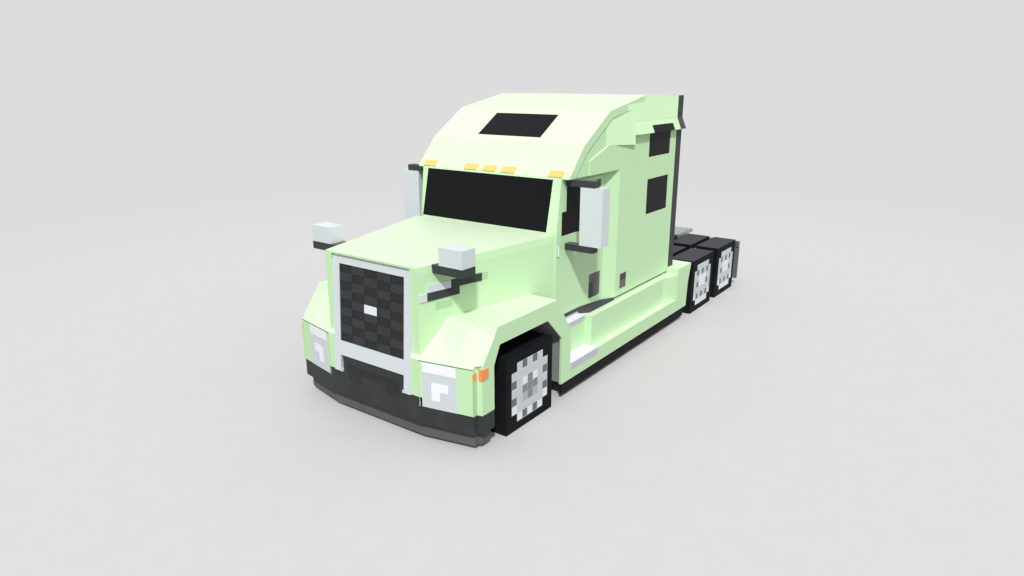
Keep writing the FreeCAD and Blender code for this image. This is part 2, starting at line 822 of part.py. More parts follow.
node(bumper(), "bumper")
node(swept_band("air_dam_body", "dam_inset", "dam_wall", "dam_bottom", "bumper_bottom"), "air_dam")


# Engine, radiator and tanks

node(box("engine_body", ("-(rail_outer - rail_flange)", "rail_outer - rail_flange"),
         ("engine_front", "engine_rear"),
         ("engine_bottom", "engine_top")), "engine")
node(box("radiator_body", ("-radiator_half", "radiator_half"),
         ("radiator_front", "radiator_front + radiator_thick"), ("radiator_bottom",
                                                                 "radiator_top")), "radiator")


def tank(side, word):
    drum = rod(f"tank_drum_{word}", "Y", ("tank_centre_x", "tank_front", "tank_centre_z"),
               "tank_radius", "tank_rear - tank_front", side)
    straps = []
    for index in (1, 2):
        place = f"tank_front + {index} * (tank_rear - tank_front) / 3"
        straps.append(box(f"tank_strap_{word}_{index}", ("rail_outer", "tank_centre_x"),
                          (f"{place} - 40", f"{place} + 40"),
                          ("rail_top - rail_height", "rail_top - rail_height + crossmember"), side))
    return join(f"tank_{word}", [drum] + straps)


node(group("tank_pair", [tank(side, word) for side, word in SIDES]), "fuel_tanks")


# Hood with its fenders, one moulding

def hood_block(name, inset, floor):
    """The hood's top and sides, moved inwards by an inset."""
    front, rear = d.hood_front + inset, d.hood_rear - (0 if inset == 0 else -50)
    slope = (d.hood_rear_half - d.hood_front_half) / (d.hood_rear - d.hood_front)
    low_half = d.hood_front_half - inset + slope * (front - d.hood_front)
    high_half = d.hood_front_half - inset + slope * (rear - d.hood_front)
    rise = (d.hood_rear_top - d.hood_front_top) / (d.hood_rear - d.hood_front)
    front_top = d.hood_front_top - inset
    rear_top = front_top + rise * (rear - d.hood_front)
    crown = d.hood_crease_rise
    points = {"apex": (0, d.hood_apex_station, front_top + rise * d.hood_apex_station + 1),
              "ridge": (0, rear, rear_top + crown)}
    for side, key in ((1, "L"), (-1, "R")):
        points[key + "fb"] = (side * low_half, front, floor)
        points[key + "rb"] = (side * high_half, rear, floor)
        points[key + "fs"] = (side * low_half, front, front_top - d.hood_bevel_drop)
        points[key + "rs"] = (side * high_half, rear, rear_top - d.hood_bevel_drop)
        points[key + "ft"] = (side * (low_half - d.hood_bevel), front, front_top)
        points[key + "rt"] = (side * (high_half - d.hood_bevel), rear, rear_top)
        points[key + "rc"] = (side * d.hood_crease_half, rear, rear_top + crown)
    faces = [("Lfb", "Lfs", "Lft", "Rft", "Rfs", "Rfb"),
             ("Lrb", "Lrs", "Lrt", "Lrc", "ridge", "Rrc", "Rrt", "Rrs", "Rrb"),
             ("Lfb", "Lrb", "Rrb", "Rfb"), ("Lft", "Rft", "apex"),
             ("apex", "Lrc", "ridge"), ("apex", "ridge", "Rrc")]
    for key in ("L", "R"):
        faces += [(key + "fb", key + "fs", key + "rs", key + "rb"),
                  (key + "fs", key + "ft", key + "rs"), (key + "ft", key + "rt", key + "rs"),
                  (key + "ft", "apex", key + "rc"), (key + "ft", key + "rc", key + "rt")]
    return faceted(name, points, faces)


def fender_block(name, side, inset, floor):
    """A fender's outer form from the hood's side to the truck's side, moved inwards by an inset."""
    half, top = d.body_half - inset, d.fender_top - inset
    inner = d.surround_half + (0 if inset == 0 else -150)
    sweep = lambda x: d.bumper_sweep_y * (x - d.bumper_flat_half) / (d.bumper_sweep_x - d.bumper_flat_half)
    front, corner = inset, d.bumper_corner_y + 3 * inset
    fold, sweep_x = d.fender_fold - inset, d.bumper_sweep_x - 3 * inset
    flat = d.bumper_flat_half
    overrun = d.fender_tail_station + d.fender_overrun
    back = d.fender_rear if inset == 0 else overrun
    tail = d.fender_tail_station if inset == 0 else overrun
    tail_z = d.fender_tail_z if inset == 0 else floor
    lip = d.fender_lip_z - inset
    points = {
        "ib": (inner, front, floor), "nb": (flat, front, floor),
        "sb": (sweep_x, sweep(sweep_x) + front, floor),
        "cb": (half, corner, floor),
        "il": (inner, front, lip), "nl": (flat, front, lip),
        "fl": (fold, sweep(fold) + front, lip), "sl": (sweep_x, sweep(sweep_x) + front, lip),
        "cl": (half, corner, lip),
        "it": (inner, d.fender_front + front, top), "ft": (fold, d.fender_front + front, top),
        "ct": (half, d.fender_front + front, top - d.fender_chamfer),
        "cu": (half, d.fender_front + front + d.fender_chamfer_run, top),
        "ir": (inner, back, top), "cr": (half, back, top),
        "ie": (inner, tail, tail_z), "ce": (half, tail, tail_z),
        "ibb": (inner, tail, floor), "cbb": (half, tail, floor),
    }
    if tail_z <= floor:
        points.pop("ibb")
        points.pop("cbb")
    points = {key: (side * x, y, z) for key, (x, y, z) in points.items()}
    low = ["ib", "nb", "sb", "cb"] + (["cbb", "ibb"] if "ibb" in points else ["ce", "ie"])
    inner_ring = ["ib", "il", "it", "ir", "ie"] + (["ibb"] if "ibb" in points else [])
    outer_ring = ["cb", "cl", "ct", "cu", "cr", "ce"] + (["cbb"] if "cbb" in points else [])
    faces = [low, inner_ring, outer_ring,
             ("ib", "nb", "nl", "il"), ("nb", "sb", "sl", "fl", "nl"), ("sb", "cb", "cl", "sl"),
             ("il", "nl", "it"), ("nl", "fl", "it"), ("fl", "ft", "it"),
             ("fl", "sl", "ft"), ("sl", "ct", "ft"), ("sl", "cl", "ct"),
             ("ft", "ct", "cu"), ("it", "ft", "cu", "cr", "ir"), ("ir", "cr", "ce", "ie")]
    if "ibb" in points:
        faces.append(("ie", "ce", "cbb", "ibb"))
    return faceted(name, points, faces)


def arch(side, word):
    """The wheel opening in a fender's outer side."""
    outline = [("arch_front", "bumper_wing_top - cut_past"), ("arch_front", "arch_front_z"),
               ("arch_front_top", "arch_top"), ("arch_rear_top", "arch_top"), ("arch_rear", "arch_rear_z"),
               ("hood_rear + cut_past", "arch_rear_z"), ("hood_rear + cut_past",
                                                         "bumper_wing_top - cut_past")]
    return prism(f"arch_{word}", "side", outline, "rail_outer", "body_half + cut_past", side)


def corner_cuts(side, word):
    """The step in a fender's front corner, and the niche over its turn signal."""
    outside = "body_half + cut_past"
    plan = [("bumper_sweep_x", "0"), (outside, "0"), (outside, "bumper_corner_y"),
            ("body_half", "bumper_corner_y"), ("bumper_sweep_x", "bumper_notch_y")]
    step = prism(f"corner_step_{word}", "plan", plan, "bumper_wing_top - cut_past", "signal_niche_top", side)
    niche = box(f"signal_niche_{word}", ("bumper_sweep_x", outside),
                ("0", "bumper_notch_y + signal_niche_depth"), ("signal_top", "signal_niche_top"), side)
    return [step, niche]


def hood():
    base = d.bumper_wing_top + 5
    shells = [hood_block("hood_form", 0, d.hood_low)]
    hollows = [hood_block("hood_hollow", d.hood_skin, d.hood_low - d.cut_past)]
    for side, word in SIDES:
        hollow = fender_block(f"fender_hollow_{word}", side, d.hood_skin, base - d.cut_past)
        shells.append(cut(f"fender_shell_{word}", fender_block(f"fender_form_{word}", side, 0, base),
                          [hollow]))
        hollows.append(arch(side, word))
        hollows += corner_cuts(side, word)
        hollows.append(box(f"bumper_gap_{word}", ("surround_half - cut_past", "bumper_flat_half + 40"),
                           ("-cut_past", "bumper_end_y"), ("bumper_wing_top", "bumper_top + 5"), side))
    middle = box("grille_gap", ("-surround_half", "surround_half"),
                 ("-cut_past", "hood_front + 2 * cut_past"),
                 ("bumper_wing_top - cut_past", "surround_top"))
    return cut("hood_body", join("hood_outer", shells), hollows + [middle])


hood_shell = node(hood(), "hood")


# Grille

def lean(z):
    """How far back the grille stands at a height, as an expression."""
    return f"surround_front + surround_setback * ({z} - surround_bottom) / (surround_top - surround_bottom)"


def leaning_slab(name, half_x, low, high, depth, forward="0", side=1):
    outline = [(f"{lean(low)} - {forward}", low), (f"{lean(high)} - {forward}", high),
               (f"{lean(high)} + {depth}", high), (f"{lean(low)} + {depth}", low)]
    return prism(name, "side", outline, half_x[0], half_x[1], side)


def surround():
    slab = leaning_slab("surround_slab", ("-surround_half", "surround_half"),
                        "surround_bottom", "surround_top", "surround_depth")
    opening = leaning_slab("surround_opening", ("-mesh_half", "mesh_half"),
                           "mesh_bottom", "mesh_top", "2 * surround_depth", "surround_depth")
    foot = leaning_slab("surround_foot", ("-mesh_half", "mesh_half"),
                        "surround_bottom - 50", "surround_bar", "2 * surround_depth", "surround_depth")
    bores = [rod(f"leg_bore_{word}", "X", ("mesh_half - cut_margin", "hood_pivot_station", "hood_pivot_z"),
                 "hood_pin_radius + running_fit", "surround_half - mesh_half - 2 * cut_margin", side)
             for side, word in SIDES]
    return cut("surround_body", slab, [opening, foot] + bores)


def mesh():
    """A checker of square bars: every other cell stands back."""
    slab = leaning_slab("mesh_slab", ("-mesh_half", "mesh_half"), "mesh_bottom", "mesh_top",
                        "mesh_depth", "-10")
    columns, rows = 5, 9
    pockets = []
    for row in range(rows):
        low = f"(mesh_bottom + {row} * (mesh_top - mesh_bottom) / {rows} + cell_gap)"
        high = f"(mesh_bottom + {row + 1} * (mesh_top - mesh_bottom) / {rows} - cell_gap)"
        for column in range(columns):
            if (row + column) % 2 == 0 and (row, column) != (rows // 2, columns // 2):
                x0 = f"-mesh_half + {column} * 2 * mesh_half / {columns} + cell_gap"
                x1 = f"-mesh_half + {column + 1} * 2 * mesh_half / {columns} - cell_gap"
                pockets.append(leaning_slab(f"mesh_cell_{row}_{column}", (x0, x1), low, high,
                                            "10 + mesh_relief", "20"))
    middle = "(mesh_bottom + mesh_top) / 2"
    plate = leaning_slab("mesh_plate", ("-plate_width / 2", "plate_width / 2"),
                         f"{middle} - plate_height / 2", f"{middle} + plate_height / 2", "15", "0")
    return join("mesh_body", [cut("mesh_checker", slab, pockets), plate])


node(surround(), "grille_surround")
node(mesh(), "grille_mesh")


# Headlights, turn signals, hood mirrors and vents

def on_sweep(x, proud):
    """The station of the swept front at a place across the truck, as an expression."""
    return f"bumper_sweep_y * ({x} - bumper_flat_half) / (bumper_sweep_x - bumper_flat_half) - {proud}"


def headlight(side, word):
    inner, outer = "headlight_inner", "headlight_outer"
    plan = [(inner, on_sweep(inner, "3")), (outer, on_sweep(outer, "3")),
            (outer, on_sweep(outer, "-headlight_thick")), (inner, on_sweep(inner, "-headlight_thick"))]
    return prism(f"headlight_{word}", "plan", plan, "headlight_bottom", "headlight_top", side)


def signal(side, word):
    return box(f"signal_{word}", ("bumper_sweep_x + signal_gap", "body_half + signal_proud"),
               ("bumper_notch_y + signal_gap", "signal_back"), ("signal_bottom", "signal_top"), side)


lamps = [headlight(side, word) for side, word in SIDES]
signals = [signal(side, word) for side, word in SIDES]
pockets = [headlight(side, word + "_pocket") for side, word in SIDES]
pockets += [signal(side, word + "_pocket") for side, word in SIDES]
NODES.remove(hood_shell)
hood_shell.Label = "hood_plain"
node(cut("hood_with_pockets", hood_shell, pockets), "hood")
node(group("headlight_pair", lamps), "headlights")
node(group("signal_pair", signals), "turn_signals")


def hood_mirror(side, word):
    return box(f"hood_mirror_{word}", ("hood_mirror_inner", "hood_mirror_outer"),
               ("hood_mirror_front", "hood_mirror_back"), ("hood_mirror_bottom", "hood_mirror_top"), side)


def side_vent(name, front, rear, low, high, side):
    """A flat dark plate that lies on the hood's sloping side."""
    widening = "(hood_rear_half - hood_front_half) / (hood_rear - hood_front)"
    at = lambda y: f"hood_front_half + ({y} - hood_front) * {widening}"
    plan = [(at(front), front), (at(rear), rear), (f"{at(rear)} + vent_thick", rear),
            (f"{at(front)} + vent_thick", front)]
    return prism(name, "plan", plan, low, high, side)


def hood_vents(side, word):
    """Two long plates, one behind and above the other."""
    upper = side_vent(f"vent_upper_{word}", "vent_upper_front", "vent_upper_front + vent_length",
                      "vent_middle", "vent_middle + vent_height", side)
    lower = side_vent(f"vent_lower_{word}", "vent_lower_front", "vent_lower_front + vent_length",
                      "vent_middle - vent_height", "vent_middle", side)
    return join(f"hood_vents_{word}", [upper, lower])


def hood_bracket(side, word):
    """The dark arm under a hood mirror: it meets the hood's sloping side."""
    inner = "(hood_front_half - 3 * hood_bevel)"
    plan = [(inner, "hood_mirror_front"), ("hood_mirror_outer", "hood_mirror_front"),
            ("hood_mirror_outer", "hood_mirror_back"), (inner, "hood_mirror_back")]
    arm = prism(f"hood_bracket_arm_{word}", "plan", plan, "hood_bracket_bottom", "hood_mirror_bottom", side)
    form = hood_block(f"hood_bracket_seat_{word}", 0, d.fender_top)
    front, rear = "hood_front_half - hood_bevel", "hood_rear_half - hood_bevel"
    over = prism(f"hood_bracket_over_{word}", "plan",
                 [("0", "hood_front"), (front, "hood_front"), (rear, "hood_rear"), ("0", "hood_rear")],
                 "hood_bracket_bottom - cut_past", "hood_mirror_bottom + cut_past", side)
    return cut(f"hood_bracket_{word}", arm, [form, over])


node(group("hood_mirror_pair", [hood_mirror(side, word) for side, word in SIDES]), "hood_mirrors")
brackets = [hood_bracket(side, word) for side, word in SIDES] + [hood_vents(side, word) for side,
                                                                 word in SIDES]
node(group("hood_bracket_set", brackets), "hood_mirror_brackets")


def hood_hinge(side, word):
    plate = box(f"hood_hinge_plate_{word}", ("mesh_half - 8 - hinge_plate", "mesh_half - 8"),
                ("hood_pivot_station - 12", "bumper_wall - 10"), ("bumper_top", "hood_pivot_z + 14"), side)
    pin = rod(f"hood_hinge_pin_{word}", "X", ("mesh_half - 10", "hood_pivot_station", "hood_pivot_z"),
              "hood_pin_radius", "surround_half - mesh_half - 25", side)
    return join(f"hood_hinge_{word}", [plate, pin])


def door_knuckle(name, low, high, side, grow="0"):
    """One round length of a door hinge, between two heights."""
    return rod(name, "Z", ("door_hinge_x", "door_hinge_y", low), f"door_hinge_radius + {grow}",
               f"({high}) - ({low})", side)


def door_hinge(side, word):
    """The half of a door's hinge that stays on the pillar, with its pin."""
    low = door_knuckle(f"door_knuckle_low_{word}", "door_hinge_bottom", HINGE_LOW, side)
    high = door_knuckle(f"door_knuckle_high_{word}", HINGE_HIGH, "door_hinge_top", side)
    pin = rod(f"door_pin_{word}", "Z", ("door_hinge_x", "door_hinge_y", "door_hinge_bottom"),
              "door_pin_radius", "door_hinge_top - door_hinge_bottom", side)
    leaf = box(f"door_leaf_{word}", ("cab_half", "door_hinge_x - door_pin_radius"),
               ("cab_corner + 2", "door_hinge_y"), ("door_hinge_bottom", "door_hinge_top"), side)
    gap = door_knuckle(f"door_knuckle_gap_{word}", HINGE_LOW, HINGE_HIGH, side, "1")
    notched = cut(f"door_leaf_notched_{word}", leaf, [gap])
    return join(f"door_hinge_{word}", [low, high, pin, notched])


hinges = [hood_hinge(side, word) for side, word in SIDES] + [door_hinge(side, word) for side, word in SIDES]
node(group("hinge_set", hinges), "hinges")


# Cab

def cab_plan(inset):
    half = [(f"cab_front_half - {inset}", f"cab_front + {inset}"),
            (f"cab_half - {inset}", f"cab_corner + {inset}"),
            (f"cab_half - {inset}", "cab_rear")]
    return half + [(f"-({x})", y) for x, y in half[::-1]]


def cab_top_block(name, inset, low, high):
    """The leaning upper cab between the cowl and the roof."""
    z0, z1 = low, high
    rise = d.header_z - d.cowl_z
    lean_at = lambda z: d.screen_setback * (z - d.cowl_z) / rise
    points = {}
    for key, z in (("b", z0), ("t", z1)):
        for side, hand in ((1, "L"), (-1, "R")):
            points[hand + "f" + key] = (side * (d.cab_front_half - inset), d.cab_front + inset + lean_at(z),
                                        z)
            points[hand + "c" + key] = (side * (d.cab_half - inset),
                                        d.cab_corner + inset + lean_at(z) * 0.6, z)
            points[hand + "r" + key] = (side * (d.cab_half - inset), d.cab_rear, z)
    faces = [("Lfb", "Rfb", "Rft", "Lft"), ("Lfb", "Lcb", "Lct", "Lft"), ("Rfb", "Rcb", "Rct", "Rft"),
             ("Lcb", "Lrb", "Lrt", "Lct"), ("Rcb", "Rrb", "Rrt", "Rct"), ("Lrb", "Rrb", "Rrt", "Lrt"),
             ("Lfb", "Lcb", "Lrb", "Rrb", "Rcb", "Rfb"), ("Lft", "Lct", "Lrt", "Rrt", "Rct", "Rft")]
    return faceted(name, points, faces)


def door_outline(grow):
    return [(f"door_front - {grow}", f"door_bottom - {grow}"),
            (f"door_rear + {grow}", f"door_bottom - {grow}"),
            (f"door_rear + {grow}", f"door_top + {grow}"), (f"door_front + door_setback - {grow}",
                                                            f"door_top + {grow}"),
            (f"door_front - {grow}", "cowl_z")]


def screen_slab(name, rim, near, far):
    """A slab in the leaning plane of the windscreen, inside its edge by a rim, between two depths."""
    low, high = f"(screen_bottom + {rim})", f"(screen_top - {rim})"
    at = lambda z, depth: f"cab_front + screen_setback * ({z} - cowl_z) / (header_z - cowl_z) + {depth}"
    outline = [(at(low, near), low), (at(high, near), high), (at(high, far), high), (at(low, far), low)]
    return prism(name, "side", outline, f"-(screen_half - {rim})", f"screen_half - {rim}")


def cab():
    lower = prism("cab_lower", "plan", cab_plan("0"), "cab_bottom", "cowl_z")
    upper = cab_top_block("cab_upper", 0, d.cowl_z, d.header_z)
    room_low = prism("cab_room_low", "plan", cab_plan("cab_wall"), "cab_bottom + floor_thick", "cowl_z")
    room_high = cab_top_block("cab_room_high", d.cab_wall, d.cowl_z, d.header_z + 1)
    rear_room = box("cab_rear_room", ("-(cab_half - cab_wall)", "cab_half - cab_wall"),
                    ("cab_rear - 6 * cut_margin", "cab_rear + cut_margin"), ("cab_bottom + floor_thick",
                                                                             "header_z + 1"))
    tools = [room_low, room_high, rear_room]
    for side, word in SIDES:
        tools.append(prism(f"door_opening_{word}", "side", door_outline("clearance"),
                           "cab_half - cab_wall - 6 * cut_margin", "cab_half + 6 * cut_margin", side))
    tools.append(screen_slab("screen_opening", "screen_rim", "-cut_past", "2 * cab_wall"))
    tools.append(screen_slab("screen_rebate", "0", "0", "glass_thick"))
    return cut("cab_body", join("cab_outer", [lower, upper]), tools)


node(cab(), "cab")


# Doors

def window_outline(grow):
    return [(f"window_front - {grow}", f"window_bottom - {grow}"),
            (f"window_rear + {grow}", f"window_bottom - {grow}"),
            (f"window_rear + {grow}", f"window_top + {grow}"),
            (f"window_front + window_step - {grow}", f"window_top + {grow}"),
            (f"window_front + window_step - {grow}", f"window_step_z + {grow}"),
            (f"window_front - {grow}", f"window_step_z + {grow}")]


def door(side, word):
    panel = prism(f"door_panel_{word}", "side", door_outline("0"), "cab_half - door_thick", "cab_half", side)
    window = prism(f"door_window_{word}", "side", window_outline("0"), "cab_half - door_thick - cut_margin",
                   "cab_half + cut_margin", side)
    recess = box(f"door_recess_{word}", ("cab_half - handle_depth", "cab_half + cut_margin"),
                 ("handle_front", "handle_rear"), ("handle_bottom", "handle_top"), side)
    low, high = f"{HINGE_LOW} + 0.5", f"{HINGE_HIGH} - 0.5"
    own_knuckle = door_knuckle(f"door_own_knuckle_{word}", low, high, side)
    leaf = box(f"door_own_leaf_{word}", ("cab_half - 1", "door_hinge_x - door_pin_radius"),
               ("door_hinge_y + 2", "door_front + 40"), (low, high), side)
    bore = rod(f"door_own_bore_{word}", "Z", ("door_hinge_x", "door_hinge_y", "door_hinge_bottom"),
               "door_pin_radius + running_fit", "door_hinge_top - door_hinge_bottom", side)
    plain = cut(f"door_plain_{word}", panel, [window, recess])
    return cut(f"door_body_{word}", join(f"door_hinged_{word}", [plain, own_knuckle, leaf]), [bore])


def door_fittings(side, word):
    handle = box(f"door_handle_{word}", ("cab_half - handle_depth", "cab_half - 5"),
                 ("handle_front", "handle_rear"), ("handle_bottom", "handle_top"), side)
    pull = box(f"door_pull_{word}", ("cab_half - handle_depth / 2", "cab_half + cut_margin"),
               ("handle_front", "handle_front + pull_length"), ("handle_bottom",
                                                                "handle_bottom + pull_height"), side)
    grip = cut(f"door_grip_{word}", handle, [pull])
    arms = []
    for key, low in (("low", "mirror_bottom - mirror_arm_height"), ("high", "mirror_top")):
        arms.append(box(f"mirror_arm_{key}_{word}", ("cab_half", "mirror_inner + mirror_arm_lap"),
                        ("mirror_front", "mirror_front + mirror_arm_depth"),
                        (low, f"{low} + mirror_arm_height"), side))
    return group(f"door_fittings_{word}_set", [grip] + arms)


def door_glass(side, word):
    return prism(f"door_glass_{word}_pane", "side", window_outline("0"), "cab_half - door_glass_set",
                 "cab_half - door_glass_set + glass_thick", side)


def side_mirror(side, word):
    return box(f"side_mirror_{word}_box", ("mirror_inner", "mirror_outer"), ("mirror_front", "mirror_back"),
               ("mirror_bottom", "mirror_top"), side)


for side, word in SIDES:
    node(door(side, word), f"door_{word}")
    node(door_glass(side, word), f"door_glass_{word}")
    node(door_fittings(side, word), f"door_fittings_{word}")
    node(side_mirror(side, word), f"side_mirror_{word}")


# Sleeper

def sleeper_plan(inset):
    half = [(f"cab_half - {inset}", "cab_rear"), (f"sleeper_half - {inset}", "sleeper_front"),
            (f"sleeper_half - {inset}", f"sleeper_rear - {inset}")]
    return half + [(f"-({x})", y) for x, y in half[::-1]]


def sleeper():
    outer = prism("sleeper_outer", "plan", sleeper_plan("0"), "cab_bottom", "header_z")
    room = prism("sleeper_room", "plan", sleeper_plan("cab_wall"), "cab_bottom + floor_thick", "header_z + 1")
    front_room = box("sleeper_front_room", ("-(cab_half - cab_wall)", "cab_half - cab_wall"),
                     ("cab_rear - cut_margin", "cab_rear + 10 * cut_margin"), ("cab_bottom + floor_thick",
                                                                               "header_z + 1"))
    tools = [room, front_room]
    for side, word in SIDES:
        tools.append(box(f"sleeper_window_{word}", ("sleeper_half - cab_wall - cut_margin",
                                                    "sleeper_half + cut_margin"),
                         ("sleeper_glass_front", "sleeper_glass_rear"),
                         ("sleeper_glass_low", "sleeper_glass_mid"), side))
        tools.append(box(f"hatch_recess_{word}", ("sleeper_half - handle_depth", "sleeper_half + cut_margin"),
                         ("hatch_front", "hatch_rear"), ("hatch_bottom", "hatch_top"), side))
    return cut("sleeper_body", outer, tools)


node(sleeper(), "sleeper")


# Roof

ROOF_LINE = [("visor_station", "visor_z"), ("kink_station", "kink_z"), ("knee_station", "knee_z"),
             ("crown_station", "crown_z"), ("sleeper_rear", "roof_rear_z")]


def roof_top(inset):
    """The roof's line from the visor to the rear, moved inwards by an inset."""
    top = [(f"{y} + {inset} * 0.6", f"{z} - {inset} * 0.8") for y, z in ROOF_LINE[:3]]
    top += [(y, f"{z} - {inset}") for y, z in ROOF_LINE[3:]]
    return top


def roof_outline(inset, floor):
    """The roof's side outline, closed along a floor."""
    top = roof_top(inset)
    top[-1] = (f"sleeper_rear - {inset}", top[-1][1])
    return top + [(f"sleeper_rear - {inset}", floor), (f"visor_station + {inset} * 1.5", floor)]


def roof_line_at(station):
    """The height of the roof's line at a station behind its kink."""
    y0, z0, y1, z1 = d.knee_station, d.knee_z, d.crown_station, d.crown_z
    if station < d.knee_station:
        y0, z0, y1, z1 = d.kink_station, d.kink_z, d.knee_station, d.knee_z
    return z0 + (z1 - z0) * (station - y0) / (y1 - y0)


def flare(side, word):
    """The roof's side leans outwards above the sleeper; in front of it a panel swells out of the side."""
    half, inner = d.sleeper_half, d.sleeper_half - d.roof_recess - 30
    recess, y0, y1 = d.sleeper_half - d.roof_recess, d.flare_start, d.flare_front
    low, front_low = d.flare_bottom - d.flare_drop, d.beak_top_z - 1
    high, front_high = roof_line_at(y1) - d.roof_edge / 2, roof_line_at(y0) - d.roof_edge / 2
    panel = {
        "a": (inner, y0, front_low), "b": (recess - 1, y0, front_low), "c": (recess - 1, y0, front_high),
        "e": (inner, y0, front_high), "f": (inner, y1 + 1, low), "g": (half + d.panel_out, y1 + 1, low),
        "i": (half - 1, y1 + 1, high), "j": (inner, y1 + 1, high),
    }
    panel = {key: (side * x, y, z) for key, (x, y, z) in panel.items()}
    faces = [("a", "b", "c", "e"), ("a", "b", "g", "f"), ("e", "c", "i", "j"), ("a", "e", "j", "f"),
             ("b", "g", "i"), ("b", "i", "c"), ("f", "g", "i", "j")]
    front = faceted(f"flare_panel_{word}", panel, faces)
    band = prism(f"flare_band_{word}", "front",
                 [("sleeper_half - roof_recess - 10", "flare_bottom"),
                  ("sleeper_half + flare_out", "flare_bottom"),
                  ("sleeper_half", "flare_kink"), ("sleeper_half - roof_recess - 10", "flare_kink")],
                 "flare_front", "sleeper_rear", side)
    return [front, band]


def roof():
    half, recess = "sleeper_half", "(sleeper_half - roof_recess)"
    core = prism("roof_core", "side", roof_outline("0", "header_z"), f"-{recess}", recess)
    edge = prism("roof_edge", "side", roof_top("0") + roof_top("roof_edge")[::-1], f"-{half}", half)
    rear = prism("roof_rear_form", "side",
                 [("flare_front", "header_z"), ("flare_front", "knee_z"),
                  ("crown_station", "crown_z - cut_margin"),
                  ("sleeper_rear", "roof_rear_z - 5"), ("sleeper_rear", "header_z")], f"-{half}", half)
    beak = prism("roof_beak", "side",
                 [("beak_station", "header_z"), ("beak_station", "beak_z"), ("knee_station", "beak_top_z"),
                  ("flare_front + cut_margin", "beak_top_z"), ("flare_front + cut_margin",
                                                               "header_z")], f"-{half}", half)
    room = prism("roof_room", "side", roof_outline("roof_wall", "header_z - cut_margin"),
                 f"-({recess} - roof_wall)", f"{recess} - roof_wall")
    flares = [piece for side, word in SIDES for piece in flare(side, word)]
    under = box("roof_under", (f"-{half} - 10 * cut_margin", f"{half} + 10 * cut_margin"),
                ("cab_front", "sleeper_rear + 10 * cut_margin"),
                ("header_z - 10 * cut_margin", "header_z"))
    tools = [room, under, skylight("skylight_opening", "-30", "roof_wall + 3 * cut_margin")]
    for side, word in SIDES:
        tools.append(box(f"roof_window_{word}", (f"{recess} - roof_wall - 3 * cut_margin",
                                                 "sleeper_half + flare_out + 3 * cut_margin"),
                         ("sleeper_glass_front", "sleeper_glass_rear"),
                         ("sleeper_glass_high", "sleeper_glass_top"), side))
    return cut("roof_body", join("roof_joined", [core, edge, rear, beak] + flares), tools)


def skylight(name, low, high):
    """A pane in the sloping front of the roof."""
    rise = "(knee_z - kink_z) / (knee_station - kink_station)"
    at = lambda y, drop: (f"{y} + ({drop}) * 0.52",
                          f"kink_z + ({y} - kink_station) * {rise} - ({drop}) * 0.85")
    outline = [at("skylight_front", low), at("skylight_back", low), at("skylight_back", high),
               at("skylight_front", high)]
    return prism(name, "side", outline, "-skylight_half", "skylight_half")


node(roof(), "roof")


def sleeper_pane(side, word):
    """The sleeper's lower pane, set just behind its wall's outer face."""
    return box(f"sleeper_pane_{word}", ("sleeper_half - glass_set - glass_thick", "sleeper_half - glass_set"),
               ("sleeper_glass_front", "sleeper_glass_rear"), ("sleeper_glass_low",
                                                               "sleeper_glass_mid"), side)


def roof_pane(side, word):
    """The upper pane: it climbs the wall, then follows the flare."""
    wall, out = "sleeper_half - glass_set", "sleeper_half + flare_out - glass_set"
    slope = "flare_out * (sleeper_glass_top - flare_bottom) / (flare_kink - flare_bottom)"
    outline = [(f"{wall} - glass_thick", "sleeper_glass_high"), (wall, "sleeper_glass_high"),
               (wall, "flare_bottom"), (out, "flare_bottom"), (f"{out} - {slope}", "sleeper_glass_top"),
               (f"{wall} - glass_thick", "sleeper_glass_top")]
    return prism(f"roof_pane_{word}", "front", outline, "sleeper_glass_front", "sleeper_glass_rear", side)


def glazing():
    panes = [screen_slab("windshield_pane", "0", "0", "glass_thick"),
             skylight("skylight_pane", "0", "glass_thick")]
    for side, word in SIDES:
        panes += [sleeper_pane(side, word), roof_pane(side, word)]
    return group("glazing_set", panes)


node(glazing(), "glazing")


def markers():
    """Five amber lamps along the visor's lower edge."""
    lamps = []
    slope = "(kink_z - visor_z) / (kink_station - visor_station)"
    for index, centre in enumerate(("-marker_outer", "-marker_inner", "0", "marker_inner", "marker_outer")):
        y0, y1 = "visor_station + marker_set", "visor_station + marker_set + marker_depth"
        outline = [(y0, f"visor_z + marker_set * {slope}"),
                   (f"{y0} - marker_thick", f"visor_z + marker_set * {slope} + marker_rise"),
                   (f"{y1} - marker_thick", f"visor_z + (marker_depth + marker_set) * {slope} + marker_rise"),
                   (y1, f"visor_z + (marker_depth + marker_set) * {slope}")]
        lamps.append(prism(f"marker_{index}", "side", outline, f"{centre} - marker_width / 2",
                           f"{centre} + marker_width / 2"))
    return group("marker_set", lamps)


node(markers(), "marker_lights")


def extender(side, word):
    low = box(f"extender_low_{word}", ("sleeper_half - extender_thick", "sleeper_half"),
              ("sleeper_rear", "sleeper_rear + extender_length"), ("cab_bottom", "flare_bottom"), side)
    high = prism(f"extender_high_{word}", "front",
                 [("sleeper_half - extender_thick", "flare_bottom"),
                  ("sleeper_half + flare_out", "flare_bottom"),
                  ("sleeper_half", "flare_kink"), ("sleeper_half", "roof_rear_z - 5"),
                  ("sleeper_half - extender_thick", "roof_rear_z - 5")],
                 "sleeper_rear", "sleeper_rear + extender_length", side)
    return join(f"extender_{word}", [low, high])


node(group("extender_pair", [extender(side, word) for side, word in SIDES]), "side_extenders")


# Side fairings, skirts and steps

